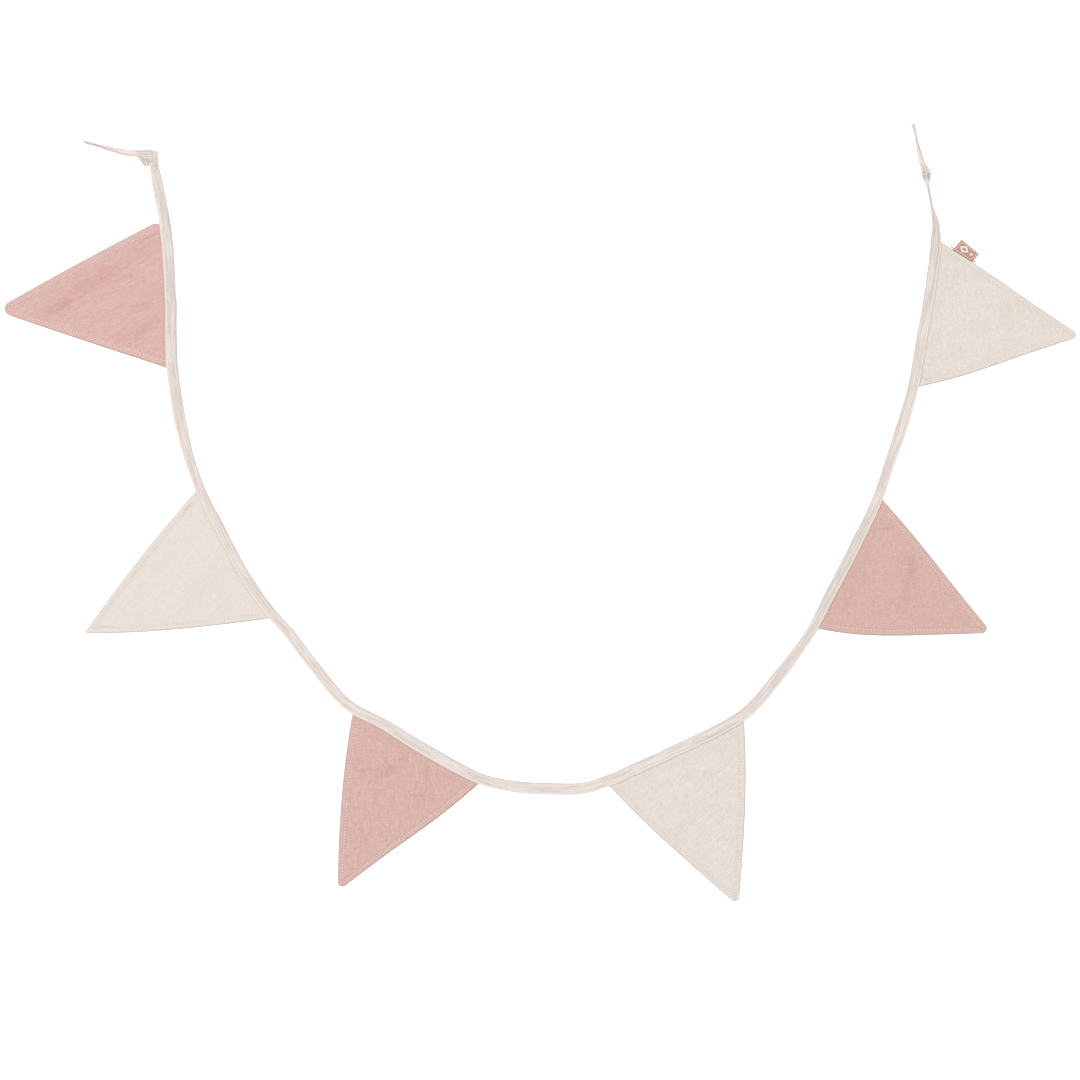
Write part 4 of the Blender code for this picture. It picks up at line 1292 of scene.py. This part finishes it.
def foldTube(name, rows):
    line = SmoothLine([(name + str(k),) + row for k, row in enumerate(rows)])
    end = line.lengths[-1]
    lengths = np.linspace(0.0, end, int(end / knotMesh["step"]) + 8)
    row = line.at(lengths)
    angles = np.linspace(0.0, 2 * math.pi, knotMesh["around"], endpoint=False)
    toEnd = np.minimum(lengths, end - lengths) / knotMesh["endRound"]
    close = np.sqrt(np.clip(toEnd, 0.08, 1.0))[:, None]
    rings = np.empty((len(lengths), len(angles), 3))
    side = row[:, 2:3] / 2 * np.cos(angles) * close
    rings[..., :2] = row[:, None, :2] + side[..., None] * line.inward(lengths)[:, None, :]
    rings[..., 2] = row[:, 4:5] + row[:, 3:4] / 2 * np.sin(angles) * close
    piece, _, _ = tube(name, rings, np.zeros(len(angles) + 1), lengths)
    closeTube(piece)
    return piece


def hollows(piece, co, normal):            # how deep each point lies below its surroundings, in mm
    one, two = read(piece.data.edges, "vertices", 2, int).T
    count = np.bincount(np.concatenate((one, two)), minlength=len(co))[:, None]
    smooth = co.copy()
    for _ in range(knotMesh["cavityRounds"]):
        total = np.zeros_like(co)
        np.add.at(total, one, smooth[two])
        np.add.at(total, two, smooth[one])
        smooth = total / np.maximum(count, 1)
    return np.sum((smooth - co) * normal, axis=1) / mm


def makeKnot(side):
    parts = [foldTube(side + name.title().replace(" ", ""), rows) for name, rows in knots[side].items()]
    if side == "left":
        parts.append(pleatedEnd())
    choose(*parts)
    bpy.ops.object.join()
    piece = parts[0]
    piece.name = piece.data.name = side + "Knot"
    shapeBy(piece, "REMESH", mode="VOXEL", voxel_size=knotMesh["voxel"])
    shapeBy(piece, "SMOOTH", factor=knotMesh["smooth"], iterations=knotMesh["rounds"])
    co, normal = (read(piece.data.vertices, name, 3) for name in ("co", "normal"))
    x, y, z = (co / mm).T
    x, y = (x, y) if side == "left" else (y, x)
    strap = smoothStep(x + 445.0) if side == "left" else 0.0 * x
    long, fine, short, coarse = knotMesh["ripples"]
    along = softNoise(x / long, (y + 0.8 * z) / fine, 541) \
        + 0.6 * softNoise(x / short, (y + z) / coarse, 542)
    wrapped = softNoise(y / long, (x - 0.8 * z) / fine, 543) \
        + 0.6 * softNoise(y / short, (x - z) / coarse, 544)
    ripple = along * (1.0 - strap) + wrapped * strap
    deep = hollows(piece, co, normal) / knotMesh["cavity"]
    co = co + normal * (ripple * knotMesh["ripple"] * mm)[:, None]
    co[:, 2] = np.maximum(co[:, 2], 0.02 * mm)
    setPoints(piece, co)
    # painted shade in the hollows between the folds, brown in the deeper ones
    setValues(piece, "dip", np.clip(0.22 * deep - ripple * 0.15, -0.25, 0.5))
    setValues(piece, "paintedBrownShade", np.clip(deep * 0.30 - 0.03, 0.0, 0.5))
    setValues(piece, "edgeBand", 0.0 * x)
    dress(piece, "knot", "tape")
    return piece


tapeKnots = [makeKnot(side) for side in knots]
for piece in tapeKnots:
    print(piece.name, len(piece.data.polygons), "faces")


# label: a small woven strip folded over and caught in the side seam of the last pennant

label = {                          # mm
    "long": 25.4,
    "out": 15.0,
    "root": 4.0,                   # in the seam
    "skew": 2.2,
    "deeper": 3.0,                 # its far end in the seam
    "place": 0.161,                # share of the pennant's reach
    "seamLow": 0.7,
    "columns": 56,
    "rows": 44,
    "ground": (0.450, 0.225, 0.175),
    "pale": (0.700, 0.680, 0.735),
    "frame": (0.800, 0.530, 0.430),
    "border": (1.7, 0.65),         # from the edge, and half its width
    "lozenges": ((3.2, 0.8, 3.6), (-6.6, 1.2, 2.6)),           # place, slimness and size of each
    "ringHalf": 1.3,
    "threadPitches": (0.42, 0.5),
    "fuzz": (2.5, 2.5, 3.0, 3.0, 0.6),
    "tone": {"middle": 0.5, "fuzz": 0.35, "woven": 0.35},
    "relief": {"woven": 0.05, "motif": 0.08, "line": 0.06, "fuzz": 0.03},
    "tail": {"long": 4.6, "radius": 0.42, "points": 9, "around": 8},
}


def labelMaterial():
    material, shader, pen = newMaterial("wovenLabel")
    x, y = clothPlace(pen)                 # mm along the seam from the middle, mm out from the seam
    (fuzz,) = noises(pen, x, y, label, "fuzz")
    border = (label["long"] / 2 - abs(x)).atMost(label["out"] - y).atMost(y + 0.25)
    fromEdge, halfLine = label["border"]
    line = abs(border - fromEdge).below(halfLine)
    up = abs(y - label["out"] * 0.52)
    large, small = (abs(x + left) * slim + up for left, slim, _ in label["lozenges"])
    ring = abs(large - label["lozenges"][0][2]).below(label["ringHalf"])
    motif = ring.atLeast(small.below(label["lozenges"][1][2]))
    across, along = (2 * math.pi / pitch for pitch in label["threadPitches"])
    woven = (x * across).sine() * 0.5 + (y * along).sine() * 0.5
    tone = blend(label["tone"], fuzz=fuzz, woven=woven).clamped()

    def shaded(name, darkest, lightest):
        return mixColour(pen, tone, rgba(label[name], darkest), rgba(label[name], lightest))

    dash = ((x + y) * 1.9).sine().above(-0.45)
    body = mixColour(pen, motif, shaded("ground", 0.85, 1.15), shaded("pale", 0.88, 1.08))
    body = mixColour(pen, line * dash, body, shaded("frame", 0.9, 1.1))
    plug(shader, {
        # painted edge shade: darker within 0.8 mm of the label's edge
        "Base Color": mixColour(pen, border.below(0.8), body, rgba(label["ground"], 0.42)),
        "Normal": bump(pen, blend(label["relief"], woven=woven, motif=motif, line=line, fuzz=fuzz)),
        "Roughness": 0.6,
        "Sheen Weight": 0.15,
    })
    return material


finishes["label"] = labelMaterial()


def threadTail(name, start, toward, out):  # a loose end of the thread that holds the label
    tail = label["tail"]
    share = np.linspace(0.0, 1.0, tail["points"])[:, None]
    flat = start + (toward + out * 0.15) * share * tail["long"] + out * 0.5 * np.sin(share * 3.0)
    centres = np.hstack((flat, 2.0 - 1.3 * share))
    angles = np.linspace(0.0, 2 * math.pi, tail["around"], endpoint=False)[:, None]
    ring = np.cos(angles) * np.append(out, 0.0) + np.sin(angles) * np.array([0.0, 0.0, 1.0])
    rings = centres[:, None, :] + ring[None, :, :] * tail["radius"]
    around = np.linspace(0.0, 1.8, tail["around"] + 1)
    piece, _, _ = tube(name, rings, around, np.arange(float(tail["points"])))
    closeTube(piece)
    dress(piece, "greyThread", "label")
    return piece


def makeLabel(shape):
    middle, half = shape.size["out"] * label["place"], label["long"] / 2
    before, after = shape.place(1.0, middle - half), shape.place(1.0, middle + half)
    seam, centre = unit(after - before), (before + after) / 2
    out = np.array([-seam[1], seam[0]])
    out = out if out @ shape.alongDir > 0 else -out
    columns, rows = label["columns"], label["rows"]
    piece = gridPiece("wovenLabel", columns, rows)
    editMesh(piece, thicken)
    i, j, upper = gridPlaces(piece)
    along = (i / columns - 0.5) * label["long"]
    outHere = label["out"] - label["deeper"] * i / columns
    reach = -label["root"] + j / rows * (outHere + label["root"])
    skew = label["skew"] * np.maximum(0.0, reach) / outHere
    low = label["seamLow"]
    bend = np.interp(reach, (-label["root"], 1.2, label["out"] * 0.5, label["out"]),
                     (low, low, low * 0.35, 0.0))
    edge = np.minimum(half - np.abs(along), outHere - reach)
    rounded = np.sqrt(np.clip(1 - (1 - np.clip(edge / 0.45, 0, 1)) ** 2, 0.03, 1.0))
    wave = 0.05 * (1 + softNoise(along / 6.0, reach / 5.0, 601)) * np.clip(reach / 4.0, 0, 1)
    z = bend + wave + np.where(upper, 0.5 + 0.42 * rounded, 0.42 - 0.34 * rounded)
    x, y = centre[:, None] + out[:, None] * reach + seam[:, None] * (along + skew)
    setPoints(piece, toFrame(np.stack((x, y, z), axis=1)))
    woven = np.stack((along, reach * label["out"] / outHere), axis=1)
    setMap(piece, woven[read(piece.data.loops, "vertex_index", kind=int)] * mm)
    editMesh(piece, turnOutwards)
    dress(piece, "label", "label", "label")
    tails = []
    for name, side in (("Left", -1.0), ("Right", 1.0)):
        start = centre + seam * side * (half - 0.4) + out * 0.9
        tails.append(threadTail("threadTail" + name, start, seam * side, out))
    return piece, tails


labelPiece, threadTails = makeLabel(panelPieces["pennant6"][2])
print("label made")


# floor

def makeFloor():
    bpy.ops.object.select_all(action="DESELECT")
    bpy.ops.mesh.primitive_plane_add(size=studio["floorSize"], location=(0.0, 0.0, 0.0))
    floor = bpy.context.object
    floor.name = "floor"
    material, shader, _ = newMaterial("paleFloor")
    plug(shader, {
        "Base Color": rgba(studio["floorColour"]),
        "Emission Color": (1.0, 1.0, 1.0, 1.0),
        "Emission Strength": studio["floorGlow"],
        "Roughness": studio["floorRough"],
        "Specular IOR Level": 0.1,
    })
    floor.data.materials.append(material)


makeFloor()
